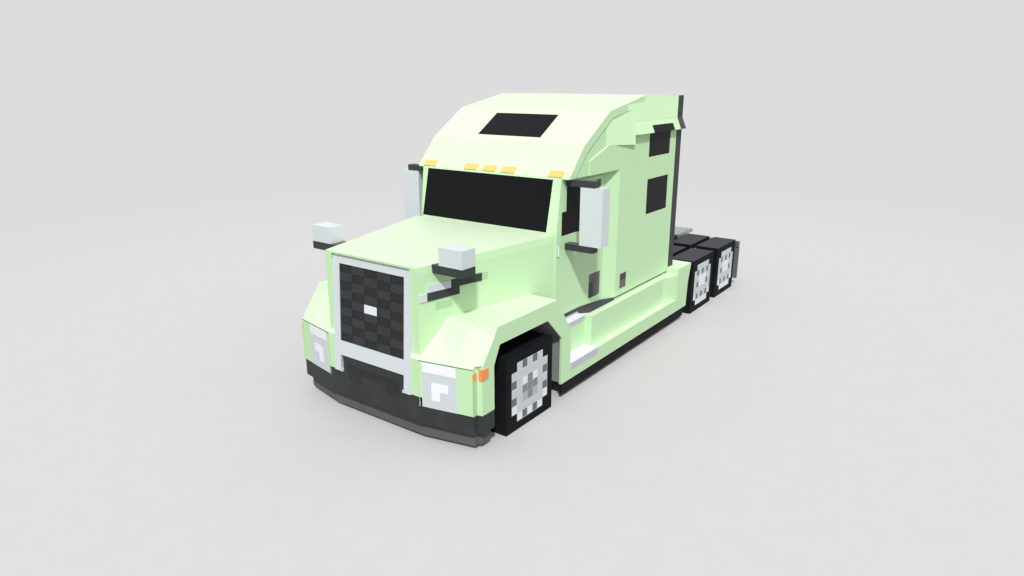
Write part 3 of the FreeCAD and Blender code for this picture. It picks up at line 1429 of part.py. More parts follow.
def fairing(side, word):
    bottom, rim = "fairing_bottom", "fairing_rim"
    body = prism(f"fairing_body_{word}", "side",
                 [("fairing_front", bottom), ("fairing_rear", bottom),
                  ("fairing_rear + 3 * cut_margin", "fairing_rim * 0.75"),
                  ("fairing_rear_top", "fairing_block_top"), ("recess_rear", "fairing_block_top"),
                  ("recess_rear", rim), ("pocket_front", rim), ("fairing_front", "arch_rear_z - 5")],
                 "fairing_inner", "body_half", side)
    hollow = prism(f"fairing_hollow_{word}", "plan",
                   [("fairing_inner - 2 * cut_margin", "wheel_well_wall + fairing_skin"),
                    ("fairing_pocket_x - fairing_skin", "wheel_well_wall + fairing_skin"),
                    ("fairing_pocket_x - fairing_skin", "pocket_rear + fairing_skin"),
                    ("fairing_recess_x - fairing_skin", "pocket_rear + fairing_skin"),
                    ("fairing_recess_x - fairing_skin", "recess_slope"),
                    ("body_half - fairing_skin", "recess_rear"),
                    ("body_half - fairing_skin", "fairing_rear - fairing_skin"),
                    ("fairing_inner - 2 * cut_margin", "fairing_rear - fairing_skin")],
                   f"{bottom} - 2 * cut_margin", f"{rim} - fairing_skin", side)
    pocket = prism(f"fairing_pocket_{word}", "plan",
                   [("fairing_pocket_x", "pocket_front"), ("body_half + 2 * cut_margin", "pocket_front"),
                    ("body_half + 2 * cut_margin", "recess_rear"), ("body_half", "recess_rear"),
                    ("fairing_recess_x", "recess_slope"), ("fairing_recess_x", "pocket_rear"),
                    ("fairing_pocket_x", "pocket_rear")],
                   "fairing_ledge", f"{rim} + 2 * cut_margin", side)
    well = box(f"fairing_well_{word}", ("fairing_inner - 2 * cut_margin", "body_half - 3 * cut_margin"),
               ("fairing_front - 2 * cut_margin", "wheel_well_wall"), (f"{bottom} - 2 * cut_margin",
                                                                       "arch_rear_z + 2 * cut_margin"), side)
    corner = box(f"fairing_corner_{word}", ("fairing_inner - 2 * cut_margin", "sleeper_half + clearance"),
                 ("recess_rear - 2 * cut_margin", "sleeper_rear + extender_length + clearance"),
                 (rim, "fairing_block_top + 2 * cut_margin"), side)
    return cut(f"fairing_shell_{word}", body, [hollow, pocket, well, corner])


for side, word in SIDES:
    node(fairing(side, word), f"fairing_{word}")


def skirt(side, word):
    return box(f"skirt_{word}", ("body_half - skirt_inset - skirt_thick", "body_half - skirt_inset"),
               ("fairing_front + skirt_front_gap", "skirt_rear"), ("skirt_bottom", "fairing_bottom"), side)


def steps(side, word):
    upper = box(f"step_upper_{word}", ("upper_step_inner", "fairing_pocket_x + step_proud"),
                ("pocket_front", "pocket_rear"), ("fairing_rim", "fairing_rim + 8"), side)
    lower = box(f"step_lower_{word}", ("fairing_pocket_x", "body_half + step_proud"),
                ("pocket_front + clearance", "pocket_rear - clearance"), ("fairing_ledge",
                                                                          "fairing_ledge + 8"), side)
    return [upper, lower]


node(group("skirt_pair", [skirt(side, word) for side, word in SIDES]), "skirts")
node(group("step_set", steps(1, "left") + steps(-1, "right")), "steps")


# Rear end

def rear_deck():
    deck = box("deck_plate", ("-deck_half", "deck_half"), ("deck_front", "deck_rear"),
               ("deck_top - deck_thick", "deck_top"))
    legs = []
    for side, word in SIDES:
        legs.append(box(f"deck_leg_{word}", ("rail_outer - rail_flange", "rail_outer"),
                        ("deck_front + 20", "rail_rear"), ("rail_top", "deck_top - deck_thick"), side))
    return join("rear_deck_body", [deck] + legs)


def rear_bar():
    end = "rear_end"
    bar = box("rear_bar_beam", ("-body_half", "body_half"), (f"{end} - rear_bar_depth", end),
              ("rear_bar_bottom", "rear_bar_top"))
    horns = []
    for side, word in SIDES:
        horns.append(box(f"rear_bar_horn_{word}", ("rail_outer - rail_flange", "rail_outer"),
                         ("rail_rear", f"{end} - rear_bar_depth"), ("rear_bar_bottom", "rail_top"), side))
    return join("rear_bar_body", [bar] + horns)


def flap(side, word):
    end = "rear_end - rear_bar_depth / 2"
    return box(f"flap_{word}", ("flap_inner", "body_half"),
               (f"{end} - flap_thick / 2", f"{end} + flap_thick / 2"),
               ("flap_bottom", "rear_bar_bottom"), side)


def tail_lamp(side, word):
    return box(f"tail_lamp_{word}", ("tail_lamp_x", "tail_lamp_x + tail_lamp_length"),
               ("rear_end - tail_lamp_depth", "rear_end"),
               ("rear_bar_bottom + tail_lamp_border", "rear_bar_top - tail_lamp_border"), side)


node(rear_deck(), "rear_deck")
pockets = [tail_lamp(side, word + "_pocket") for side, word in SIDES]
node(cut("rear_bar_with_pockets", rear_bar(), pockets), "rear_bar")
node(group("tail_lamp_pair", [tail_lamp(side, word) for side, word in SIDES]), "tail_lamps")
node(group("flap_pair", [flap(side, word) for side, word in SIDES]), "mudflaps")


# Fifth wheel

def coupler_base():
    parts = []
    for side, word in SIDES:
        face = "coupler_lug_half + coupler_lug_thick + coupler_gap"
        bracket = box(f"coupler_bracket_{word}", (face, f"{face} + coupler_bracket_thick"),
                      ("coupler_station - coupler_bracket_half", "coupler_station + coupler_bracket_half"),
                      ("rail_top", "coupler_pin_z + coupler_pin_radius + coupler_rim"), side)
        pin = rod(f"coupler_pin_{word}", "X", ("coupler_lug_half", "coupler_station", "coupler_pin_z"),
                  "coupler_pin_radius", "coupler_lug_thick + 2 * coupler_gap", side)
        parts.append(join(f"coupler_foot_{word}", [bracket, pin]))
    return group("coupler_base_set", parts)


def coupler_plate():
    low = "deck_top - deck_thick"
    chamfer, jaw = "coupler_front + coupler_chamfer", "coupler_station + jaw_reach"
    outline = [("-deck_half", chamfer), ("-deck_half + coupler_chamfer", "coupler_front"),
               ("deck_half - coupler_chamfer", "coupler_front"), ("deck_half", chamfer),
               ("deck_half", "coupler_rear"), ("throat_half", "coupler_rear"),
               ("kingpin_bore_radius", f"{jaw} + jaw_length"), ("kingpin_bore_radius", jaw),
               ("-kingpin_bore_radius", jaw), ("-kingpin_bore_radius", f"{jaw} + jaw_length"),
               ("-throat_half", "coupler_rear"), ("-deck_half", "coupler_rear")]
    plate = prism("coupler_slab", "plan", outline, low, "deck_top")
    bore = rod("coupler_bore", "Z", ("0", "coupler_station", f"{low} - cut_margin"), "kingpin_bore_radius",
               "deck_thick + 2 * cut_margin")
    parts = [cut("coupler_plate_cut", plate, [bore])]
    bores = []
    for side, word in SIDES:
        parts.append(box(f"coupler_lug_{word}", ("coupler_lug_half", "coupler_lug_half + coupler_lug_thick"),
                         ("coupler_station - coupler_lug_length / 2",
                          "coupler_station + coupler_lug_length / 2"),
                         ("coupler_pin_z - coupler_pin_radius - 2 * coupler_rim", low), side))
        bores.append(rod(f"coupler_lug_bore_{word}", "X",
                         ("coupler_lug_half - cut_margin", "coupler_station", "coupler_pin_z"),
                         "coupler_pin_radius + running_fit", "coupler_lug_thick + 2 * cut_margin", side))
    return cut("coupler_plate_body", join("coupler_plate_solid", parts), bores)


node(coupler_base(), "fifth_wheel_base")
node(coupler_plate(), "fifth_wheel_plate")


# Cab inside

def seat(side, word):
    x = ("seat_x - seat_width / 2", "seat_x + seat_width / 2")
    pedestal = box(f"seat_pedestal_{word}", ("seat_x - seat_width / 4", "seat_x + seat_width / 4"),
                   ("seat_front + seat_base_inset", "seat_front + seat_length - seat_base_inset"),
                   ("cab_bottom + floor_thick", "seat_z"), side)
    cushion = box(f"seat_cushion_{word}", x, ("seat_front", "seat_front + seat_length"),
                  ("seat_z", "seat_z + seat_cushion"), side)
    back = box(f"seat_back_{word}", x, ("seat_front + seat_length - seat_back_thick",
                                        "seat_front + seat_length"),
               ("seat_z", "seat_z + seat_back_height"), side)
    return join(f"seat_{word}", [pedestal, cushion, back])


def bunk():
    return box("bunk_bed", ("-(sleeper_half - cab_wall)", "sleeper_half - cab_wall"),
               ("bunk_front", "sleeper_rear - cab_wall"),
               ("cab_bottom + floor_thick + bunk_height - bunk_thick",
                "cab_bottom + floor_thick + bunk_height"))


def dashboard():
    shelf = box("dash_shelf", ("-(cab_half - cab_wall - door_thick)", "cab_half - cab_wall - door_thick"),
                ("dash_front", "dash_front + dash_depth"), ("dash_bottom", "dash_top"))
    front = box("dash_front_panel", ("-(cab_front_half - cab_wall)", "cab_front_half - cab_wall"),
                ("cab_front + cab_wall", "dash_front"), ("dash_bottom", "dash_top"))
    column = steering_rod("steering_column", "-column_length", "column_radius",
                          "column_length - wheel_rim_radius - clearance")
    bore = steering_rod("steering_column_bore", "-column_length / 2", "wheel_shaft_radius + running_fit",
                        "column_length")
    return cut("dashboard_body", join("dashboard_solid", [shelf, front, column]), [bore])


def steering_rod(name, start, radius, length):
    """A round bar along the steering column; start is its distance above the wheel's middle."""
    feature = doc.addObject("Part::Cylinder", name)
    bind(feature, "Radius", radius)
    bind(feature, "Height", length)
    tilt_to_column(feature, start)
    return feature


def tilt_to_column(feature, start):
    """Stands a round feature on the steering column's line, leaning towards the driver."""
    angle = radians(d.steering_tilt)
    feature.Placement.Rotation = FreeCAD.Rotation(AXES["Z"], V(0, sin(angle), cos(angle)))
    bind(feature, "Placement.Base.x", "seat_x")
    bind(feature, "Placement.Base.y", f"wheel_station + ({start}) * {sin(angle):.9f} + {SHIFT}")
    bind(feature, "Placement.Base.z", f"wheel_centre_z + ({start}) * {cos(angle):.9f}")


def steering_wheel():
    rim = doc.addObject("Part::Torus", "steering_rim")
    bind(rim, "Radius1", "wheel_radius")
    bind(rim, "Radius2", "wheel_rim_radius")
    tilt_to_column(rim, "0")
    hub = steering_rod("steering_hub", "-wheel_rim_radius", "column_radius", "2 * wheel_rim_radius")
    shaft = steering_rod("steering_shaft", "-column_length / 2 + clearance", "wheel_shaft_radius",
                         "column_length / 2")
    spokes = doc.addObject("Part::Box", "steering_spokes")
    bind(spokes, "Length", "2 * wheel_radius")
    bind(spokes, "Width", "2 * wheel_rim_radius")
    bind(spokes, "Height", "wheel_rim_radius")
    tilt_to_column(spokes, "-wheel_rim_radius / 2")
    angle = radians(d.steering_tilt)
    spokes.Placement.Rotation = FreeCAD.Rotation(AXES["X"], -d.steering_tilt)
    bind(spokes, "Placement.Base.x", "seat_x - wheel_radius")
    bind(spokes, "Placement.Base.y", f"wheel_station - wheel_rim_radius * {cos(angle):.9f}"
                                     f" - wheel_rim_radius / 2 * {sin(angle):.9f} + {SHIFT}")
    bind(spokes, "Placement.Base.z", f"wheel_centre_z + wheel_rim_radius * {sin(angle):.9f}"
                                     f" - wheel_rim_radius / 2 * {cos(angle):.9f}")
    return join("steering_wheel_body", [rim, hub, shaft, spokes])


node(group("seat_set", [seat(side, word) for side, word in SIDES] + [bunk()]), "seats_and_bunk")
node(dashboard(), "dashboard")
node(steering_wheel(), "steering_wheel")


# Checks and export

doc.recompute()
for item in doc.Objects:
    if "Invalid" in item.State or "Error" in item.State:
        raise RuntimeError(f"{item.Label} failed: {item.State}")
os.makedirs("parts", exist_ok=True)
for item in NODES:
    if item.Shape.isNull() or not item.Shape.isValid():
        raise RuntimeError(f"{item.Label} has no valid shape")
    item.Shape.exportStep(f"parts/{item.Label}.step")
    bounds = item.Shape.BoundBox
    print(f"{item.Label}: {len(item.Shape.Solids)} solids, {item.Shape.Volume / 1e9:.4f} m3, "
          f"X {bounds.XMin:.0f}..{bounds.XMax:.0f} Y {bounds.YMin:.0f}..{bounds.YMax:.0f} "
          f"Z {bounds.ZMin:.0f}..{bounds.ZMax:.0f}")
print(len(NODES), "sub-parts")
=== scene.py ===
import math

import bmesh
import bpy
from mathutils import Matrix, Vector


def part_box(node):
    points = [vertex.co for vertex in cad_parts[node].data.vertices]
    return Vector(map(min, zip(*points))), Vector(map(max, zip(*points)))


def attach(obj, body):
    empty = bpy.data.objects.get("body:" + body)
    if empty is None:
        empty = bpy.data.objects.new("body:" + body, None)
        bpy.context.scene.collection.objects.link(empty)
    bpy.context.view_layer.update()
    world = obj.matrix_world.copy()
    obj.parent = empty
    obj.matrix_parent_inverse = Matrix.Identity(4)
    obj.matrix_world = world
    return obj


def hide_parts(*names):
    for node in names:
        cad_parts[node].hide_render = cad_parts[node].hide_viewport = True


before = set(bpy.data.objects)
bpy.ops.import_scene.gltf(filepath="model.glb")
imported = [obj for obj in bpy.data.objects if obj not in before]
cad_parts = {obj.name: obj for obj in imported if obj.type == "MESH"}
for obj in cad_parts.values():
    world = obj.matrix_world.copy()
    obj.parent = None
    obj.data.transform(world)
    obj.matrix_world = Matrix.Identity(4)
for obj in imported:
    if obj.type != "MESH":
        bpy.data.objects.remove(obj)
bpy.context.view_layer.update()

# Places are given in millimetres: x from the truck's middle to its left, back from the bumper's
# plane to the rear, and up from the ground.
MM = 0.001
BUMPER_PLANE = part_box("bumper")[0].y
# The truck's sides: the sign of x there, and the word that ends a piece's name
SIDES = ((1, "left"), (-1, "right"))
SIGNS = (1, -1)


def place(x, back, up):
    """A place on the truck, in metres in the scene."""
    return Vector((x * MM, BUMPER_PLANE + back * MM, up * MM))


def away(x, back, up):
    """A move by so many millimetres."""
    return Vector((x, back, up)) * MM


# Finishes

# Dust on paint, plastic and rubber, and a browner one on bare metal
ROAD_DUST = "#9B958A"
METAL_DUST = "#8E887E"


def linear(code):
    """An sRGB hex colour as linear light."""
    channels = [int(code[i:i + 2], 16) / 255 for i in (1, 3, 5)]
    return [c / 12.92 if c <= 0.04045 else ((c + 0.055) / 1.055) ** 2.4 for c in channels] + [1.0]


def add(finish, kind, sockets=(), **settings):
    """Adds a shader node with its settings; its sockets take values or links."""
    item = finish.node_tree.nodes.new("ShaderNode" + kind)
    for name, value in settings.items():
        setattr(item, name, value)
    for key, value in dict(sockets).items():
        if isinstance(value, bpy.types.NodeSocket):
            finish.node_tree.links.new(value, item.inputs[key])
        else:
            item.inputs[key].default_value = value
    return item


def new_finish(name):
    finish = bpy.data.materials.new(name)
    finish.use_nodes = True
    finish.node_tree.nodes.clear()
    return finish


def close_finish(finish, surface):
    add(finish, "OutputMaterial", {"Surface": surface})
    return finish


def speckle(finish, size, detail=2.0, stretch=(1, 1, 1)):
    """Noise whose grains are about one size, in millimetres, on the piece itself."""
    spot = add(finish, "TexCoord").outputs["Object"]
    spot = add(finish, "Mapping", {"Vector": spot, "Scale": stretch}).outputs["Vector"]
    noise = add(finish, "TexNoise", {"Vector": spot, "Scale": 1 / (size * MM), "Detail": detail})
    return noise.outputs["Fac"]


def blend(finish, amount, first, second):
    """A colour between two: hex codes or links."""
    pair = [linear(c) if isinstance(c, str) else c for c in (first, second)]
    mix = add(finish, "Mix", {"Factor": amount, 6: pair[0], 7: pair[1]}, data_type="RGBA")
    return mix.outputs[2]


def ramp(finish, value, low, high, start=0.0, end=1.0):
    """Maps a value's span from low to high onto start to end."""
    return add(finish, "MapRange", {"Value": value, "From Min": low, "From Max": high,
                                    "To Min": start, "To Max": end}).outputs["Result"]


def times(finish, first, second):
    return add(finish, "Math", {0: first, 1: second}, operation="MULTIPLY").outputs[0]


def relief(finish, height, depth):
    """Bump whose full height is depth, in millimetres."""
    bump = add(finish, "Bump", {"Height": height, "Distance": depth * MM, "Strength": 1.0})
    return bump.outputs["Normal"]


def road_film(finish, colour, dust, strength):
    """Dust that thins out with height, strongest near the ground."""
    spot = add(finish, "TexCoord").outputs["Object"]
    height = add(finish, "SeparateXYZ", {"Vector": spot}).outputs["Z"]
    low = ramp(finish, height, 1.0, 0.1)
    patchy = times(finish, low, ramp(finish, speckle(finish, 180, 4), 0.35, 0.75))
    return blend(finish, times(finish, patchy, strength), colour, dust)


def moulded(name, colour, shade, roughness, grain, depth, dust=0.1, coat=0.0, gloss=0.5, top_painted_light=None):
    """An opaque finish: two near tones in slow patches, painted light in a third tone on faces that look
    up, a fine grain.
    """
    finish = new_finish(name)
    tone = blend(finish, ramp(finish, speckle(finish, 400, 3), 0.3, 0.7), colour, shade)
    # Faces that look up get a painted highlight or painted shade, blended in by how far they look up
    if top_painted_light:
        facing = add(finish, "NewGeometry").outputs["Normal"]
        upward = add(finish, "SeparateXYZ", {"Vector": facing}).outputs["Z"]
        tone = blend(finish, ramp(finish, upward, 0.25, 0.9), tone, top_painted_light)
    dusty = road_film(finish, tone, ROAD_DUST, dust)
    grainy = relief(finish, speckle(finish, grain, 2), depth)
    rough = ramp(finish, speckle(finish, 60, 3), 0.3, 0.7, roughness - 0.05, roughness + 0.05)
    shader = add(finish, "BsdfPrincipled", {"Base Color": dusty, "Roughness": rough, "Normal": grainy,
                                            "IOR": 1.5, "Specular IOR Level": gloss,
                                            "Coat Weight": coat, "Coat Roughness": 0.08})
    return close_finish(finish, shader.outputs[0])


def metal(name, colour, shade, roughness, grain, depth, stretch=(1, 1, 1)):
    """Bare or painted metal: its grain may run one way."""
    finish = new_finish(name)
    tone = blend(finish, ramp(finish, speckle(finish, 250, 3), 0.3, 0.7), colour, shade)
    dusty = road_film(finish, tone, METAL_DUST, 0.12)
    fine = speckle(finish, grain, 3, stretch)
    rough = ramp(finish, fine, 0.3, 0.7, roughness - 0.08, roughness + 0.08)
    shader = add(finish, "BsdfPrincipled", {"Base Color": dusty, "Roughness": rough, "Metallic": 0.85,
                                            "Normal": relief(finish, fine, depth)})
    return close_finish(finish, shader.outputs[0])


# Two-pack polyurethane enamel, sprayed: even, with faint orange peel; a paler tone on its upward faces is
# a painted highlight
enamel = moulded("polyurethane_enamel_mint", "#C7EBBA", "#C4E8B7", 0.5, 6, 0.02, 0.015, 0.05,
                 top_painted_light="#D2E4C6")
# The same enamel in a slightly deeper tone, on small patches and in fine joints, and as painted shade
# along the hood's creases and on the walls beside the turn signals
deep_mint_and_painted_shade = moulded("polyurethane_enamel_deep_mint", "#B2D6A5", "#AED2A1", 0.5, 6, 0.02, 0.015, 0.05)
# Moulded polypropylene, grained in the mould: dark grey and dull
bumper_skin = moulded("moulded_polypropylene_bumper", "#343636", "#313333", 0.62, 2.5, 0.08, 0.05,
                      gloss=0.25)
# The same, a shade darker, on the bumper's low relief
bumper_shade = moulded("moulded_polypropylene_dark", "#2A2B2B", "#272828", 0.66, 2.5, 0.08, 0.05,
                       gloss=0.25)
# Extruded rubber lip: softer and greyer than the bumper
dam_rubber = moulded("extruded_rubber_grey", "#5E5E5E", "#5A5A5A", 0.75, 3, 0.06, 0.08, gloss=0.25)
# Acrylic lacquer in silver grey over moulded plastic: pale and satin
lacquer = moulded("acrylic_lacquer_silver_grey", "#D5DCDF", "#D2D9DC", 0.42, 1.5, 0.01, 0.02, 0.1)
# White acrylic lacquer on the steps and the grille's plate: clean, with a soft sheen
lacquer_white = moulded("acrylic_lacquer_white", "#E6EAEC", "#E3E7E9", 0.4, 1.5, 0.01, 0.03, 0.15)
# Anodised edge plates on the steps: pale, with a trace of lavender
step_plate = moulded("anodised_plate_pale", "#C5C3D0", "#C1BFCC", 0.45, 1.5, 0.01, 0.03, 0.1)
# Powder-coated pressed steel, in two greys that make the grille's checker
mesh_raised = moulded("powder_coat_graphite", "#353638", "#323335", 0.6, 1.2, 0.03, 0.02, gloss=0.25)
mesh_sunk = moulded("powder_coat_black", "#292B2C", "#27292A", 0.62, 1.2, 0.03, 0.02, gloss=0.2)
# Moulded ABS, finely grained: a cool black, with a grey painted highlight on the faces that look up
black_abs = moulded("moulded_abs_black", "#393F3E", "#363C3B", 0.6, 2, 0.05, 0.03, gloss=0.25,
                    top_painted_light="#5A5C60")
# The skirts' ABS: deep black, with hardly any sheen
dark_abs = moulded("moulded_abs_deep_black", "#1B1A1C", "#19181A", 0.7, 2, 0.05, 0.02, gloss=0.1)
# The handles' ABS: a warm middle grey, and a darker shade of it on the pulls
warm_abs = moulded("moulded_abs_warm_grey", "#6E696E", "#6A656A", 0.6, 2, 0.05, 0.03, gloss=0.3)
handle_dark = moulded("moulded_abs_dark_grey", "#474448", "#434044", 0.6, 2, 0.05, 0.03, gloss=0.3)
# Pressed fibre in the arches: pale, rough and matt
liner_felt = moulded("pressed_fibre_liner", "#A3989A", "#9B9092", 0.85, 4, 0.3, 0.1)
# Moulded polyethylene behind the front wheels: smooth, pale and a little dusty
liner_wall = moulded("moulded_polyethylene_wall", "#8A8F90", "#848A8B", 0.7, 3, 0.06, 0.12)
# Painted shadow under the fenders' lips, as a dull, soft dark strip
lip_shadow_paint = moulded("painted_lip_shadow", "#7E857A", "#787F74", 0.8, 2, 0.03, 0.05)
# Vulcanised rubber: near black, matt, with a grey painted highlight on its upper faces
tyre_rubber = moulded("vulcanised_rubber", "#16171A", "#141518", 0.8, 3, 0.12, 0.04, gloss=0.1,
                      top_painted_light="#434347")
# The steered tyres' rubber, with less dust than the driven ones', and without the painted highlight on
# top: painted shade for the arches' shadow
tyre_shaded_clean = moulded("vulcanised_rubber_clean_painted_shade", "#16171A", "#141518", 0.8, 3, 0.12, 0.02, gloss=0.1)
# Painted shade at the cab's foot, as a strip of dark violet grey rubber; darker still where it faces the
# sky, more painted shade
sill_rubber_painted_shade = moulded("extruded_sill_rubber_painted_shade", "#4C4B50", "#49484D", 0.75, 3, 0.08, 0.04, gloss=0.2,
                      top_painted_light="#414045")
# Sheet rubber of the mudflaps: middle grey and slightly rough
flap_rubber = moulded("sheet_rubber_grey", "#6B7072", "#666B6D", 0.7, 5, 0.1, 0.1)
# Satin chassis enamel over steel: slightly uneven, with a dusty film
chassis_black = moulded("chassis_enamel_black", "#2B2B2D", "#262628", 0.5, 8, 0.06, 0.2)
# Engine enamel: a plain grey with some dust
engine_grey = moulded("engine_enamel_grey", "#6B6E70", "#636668", 0.5, 5, 0.08, 0.1)
# Wheel enamel, fine and even, in the five greys of the rims' cells
rim_light = moulded("wheel_enamel_silver", "#CBD3D6", "#C7CFD2", 0.4, 3, 0.02, 0.06, 0.15)
rim_white = moulded("wheel_enamel_pale_silver", "#EEF3F5", "#EAEFF1", 0.4, 3, 0.02, 0.06, 0.15)
rim_ring = moulded("wheel_enamel_mid_grey", "#B4B9BC", "#B0B5B8", 0.42, 3, 0.02, 0.06, 0.1)
rim_plus = moulded("wheel_enamel_dark_grey", "#84878C", "#808388", 0.45, 3, 0.02, 0.06, 0.1)
rim_dark = moulded("wheel_enamel_graphite", "#66696E", "#62656A", 0.5, 3, 0.02, 0.06)
# Sand-cast iron under old grease: lumpy and dark
cast_iron = metal("sand_cast_iron", "#3E3F42", "#343538", 0.55, 6, 0.25)
# Turned and drawn steel: bright, with a grain that runs one way
drawn_steel = metal("drawn_steel", "#9A9DA0", "#8E9194", 0.38, 1.5, 0.02, (1, 0.1, 1))
# Rolled aluminium, brushed along its length: pale, with long fine lines
brushed_aluminium = metal("brushed_aluminium", "#B9BEC2", "#B0B5B9", 0.4, 1.2, 0.02, (1, 0.05, 1))

# A wave texture's angle is 20 times its scaled place: these give a flute each 50 mm and a thread each
# 8 mm, both drawn coarse enough to show
FLUTE_SCALE = 1 / (8 * MM) / 20
THREAD_SCALE = 1 / (4 * MM) / 6.28


def flute_bands(finish, spot):
    """Upright flutes across a lens."""
    bands = add(finish, "TexWave", {"Vector": spot, "Scale": FLUTE_SCALE}, bands_direction="X")
    return bands.outputs["Fac"]


def lens(name, colour, roughness):
    """Moulded polycarbonate over a reflector: a smooth skin over fine upright flutes."""
    finish = new_finish(name)
    spot = add(finish, "TexCoord").outputs["Object"]
    flutes = flute_bands(finish, spot)
    tone = blend(finish, times(finish, flutes, 0.06), colour, "#FFFFFF")
    shader = add(finish, "BsdfPrincipled", {"Base Color": tone, "Roughness": roughness, "IOR": 1.58,
                                            "Coat Weight": 0.3, "Coat Roughness": 0.06,
                                            "Normal": relief(finish, flutes, 0.1)})
    return close_finish(finish, shader.outputs[0])


# Moulded polycarbonate: pale lamp bodies, white reflectors behind clear lenses, and amber lenses
lamp_body = lens("polycarbonate_lamp_grey", "#CED5DA", 0.35)
lamp_white = lens("polycarbonate_reflector_white", "#F4F6F7", 0.3)
lamp_amber = lens("polycarbonate_amber", "#F2934A", 0.35)
marker_amber = lens("polycarbonate_pale_amber", "#EFC268", 0.35)


# The tail lamps' seams, measured in metres from the truck's middle; the clear field is inside the first
TAIL_SEAMS = (0.645, 0.762)
TAIL_SEAM_HALF = 0.003


def tail_lens():
    """Red fields with a clear one inboard, and dark seams between them, over fine flutes."""
    finish = new_finish("polycarbonate_tail_lens")
    spot = add(finish, "TexCoord").outputs["Object"]
    across = add(finish, "SeparateXYZ", {"Vector": spot}).outputs["X"]
    outward = add(finish, "Math", {0: across}, operation="ABSOLUTE").outputs[0]
    clear = add(finish, "Math", {0: outward, 1: TAIL_SEAMS[0]}, operation="LESS_THAN").outputs[0]
    tone = blend(finish, clear, "#B3261E", "#E4E6E6")
    for seam in TAIL_SEAMS:
        near = add(finish, "Math", {0: outward, 1: seam, 2: TAIL_SEAM_HALF},
                   operation="COMPARE").outputs[0]
        tone = blend(finish, near, tone, "#3A1210")
    flutes = flute_bands(finish, spot)
    shader = add(finish, "BsdfPrincipled", {"Base Color": tone, "Roughness": 0.25, "IOR": 1.58,
                                            "Coat Weight": 0.5, "Coat Roughness": 0.04,
                                            "Normal": relief(finish, flutes, 0.15)})
    return close_finish(finish, shader.outputs[0])


lamp_red = tail_lens()


def tinted_glass():
    """Privacy glass: near black, with a faint sheen and wiped patches."""
    finish = new_finish("tinted_privacy_glass")
    wipe = ramp(finish, speckle(finish, 90, 3), 0.3, 0.7, 0.05, 0.12)
    shader = add(finish, "BsdfPrincipled", {"Base Color": linear("#1A1A1C"), "Roughness": wipe,
                                            "IOR": 1.52, "Specular IOR Level": 0.04})
    return close_finish(finish, shader.outputs[0])


glass = tinted_glass()


def silvered_glass():
    """Mirror glass: silvered behind, so it shows the sky and the road."""
    finish = new_finish("silvered_mirror_glass")
    wipe = ramp(finish, speckle(finish, 70, 3), 0.3, 0.7, 0.02, 0.07)
    shader = add(finish, "BsdfPrincipled", {"Base Color": linear("#D5DADC"), "Roughness": wipe,
                                            "Metallic": 1.0})
    return close_finish(finish, shader.outputs[0])


mirror_glass = silvered_glass()


# Lozenges to a metre: one each 30 mm across its length, and one each 90 mm along it
LOZENGES = (33, 11, 33)


def checker_plate():
    """Rolled floor plate: raised lozenges in two leaning rows, on pale worn metal."""
    finish = new_finish("rolled_floor_plate")
    spot = add(finish, "TexCoord").outputs["Object"]
    heights = []
    for lean in (45, -45):
        turned = add(finish, "Mapping", {"Vector": spot, "Rotation": (0, 0, math.radians(lean)),
                                         "Scale": LOZENGES}).outputs["Vector"]
        heights.append(add(finish, "TexVoronoi", {"Vector": turned, "Scale": 1.0, "Randomness": 0.0},
                           voronoi_dimensions="2D").outputs["Distance"])
    bars = [ramp(finish, height, 0.35, 0.15) for height in heights]
    both = add(finish, "Math", {0: bars[0], 1: bars[1]}, operation="MAXIMUM").outputs[0]
    tone = blend(finish, both, "#A8ACAF", "#C2C6C9")
    dusty = road_film(finish, tone, METAL_DUST, 0.2)
    shader = add(finish, "BsdfPrincipled", {"Base Color": dusty, "Roughness": 0.45, "Metallic": 0.6,
                                            "Normal": relief(finish, both, 1.5)})
    return close_finish(finish, shader.outputs[0])


floor_plate = checker_plate()


def woven_cloth():
    """Woven polyester seat cloth: dark grey, matt, with crossing threads."""
    finish = new_finish("woven_polyester_grey")
    spot = add(finish, "TexCoord").outputs["Object"]
    threads = [add(finish, "TexWave", {"Vector": spot, "Scale": THREAD_SCALE, "Distortion": 0.6},
                   bands_direction=way).outputs["Fac"] for way in ("X", "Y")]
    weave = times(finish, threads[0], threads[1])
    tone = blend(finish, weave, "#34373B", "#4C5056")
    shader = add(finish, "BsdfPrincipled", {"Base Color": tone, "Roughness": 0.9, "Sheen Weight": 0.3,
                                            "Normal": relief(finish, weave, 0.8)})
    return close_finish(finish, shader.outputs[0])


seat_cloth = woven_cloth()

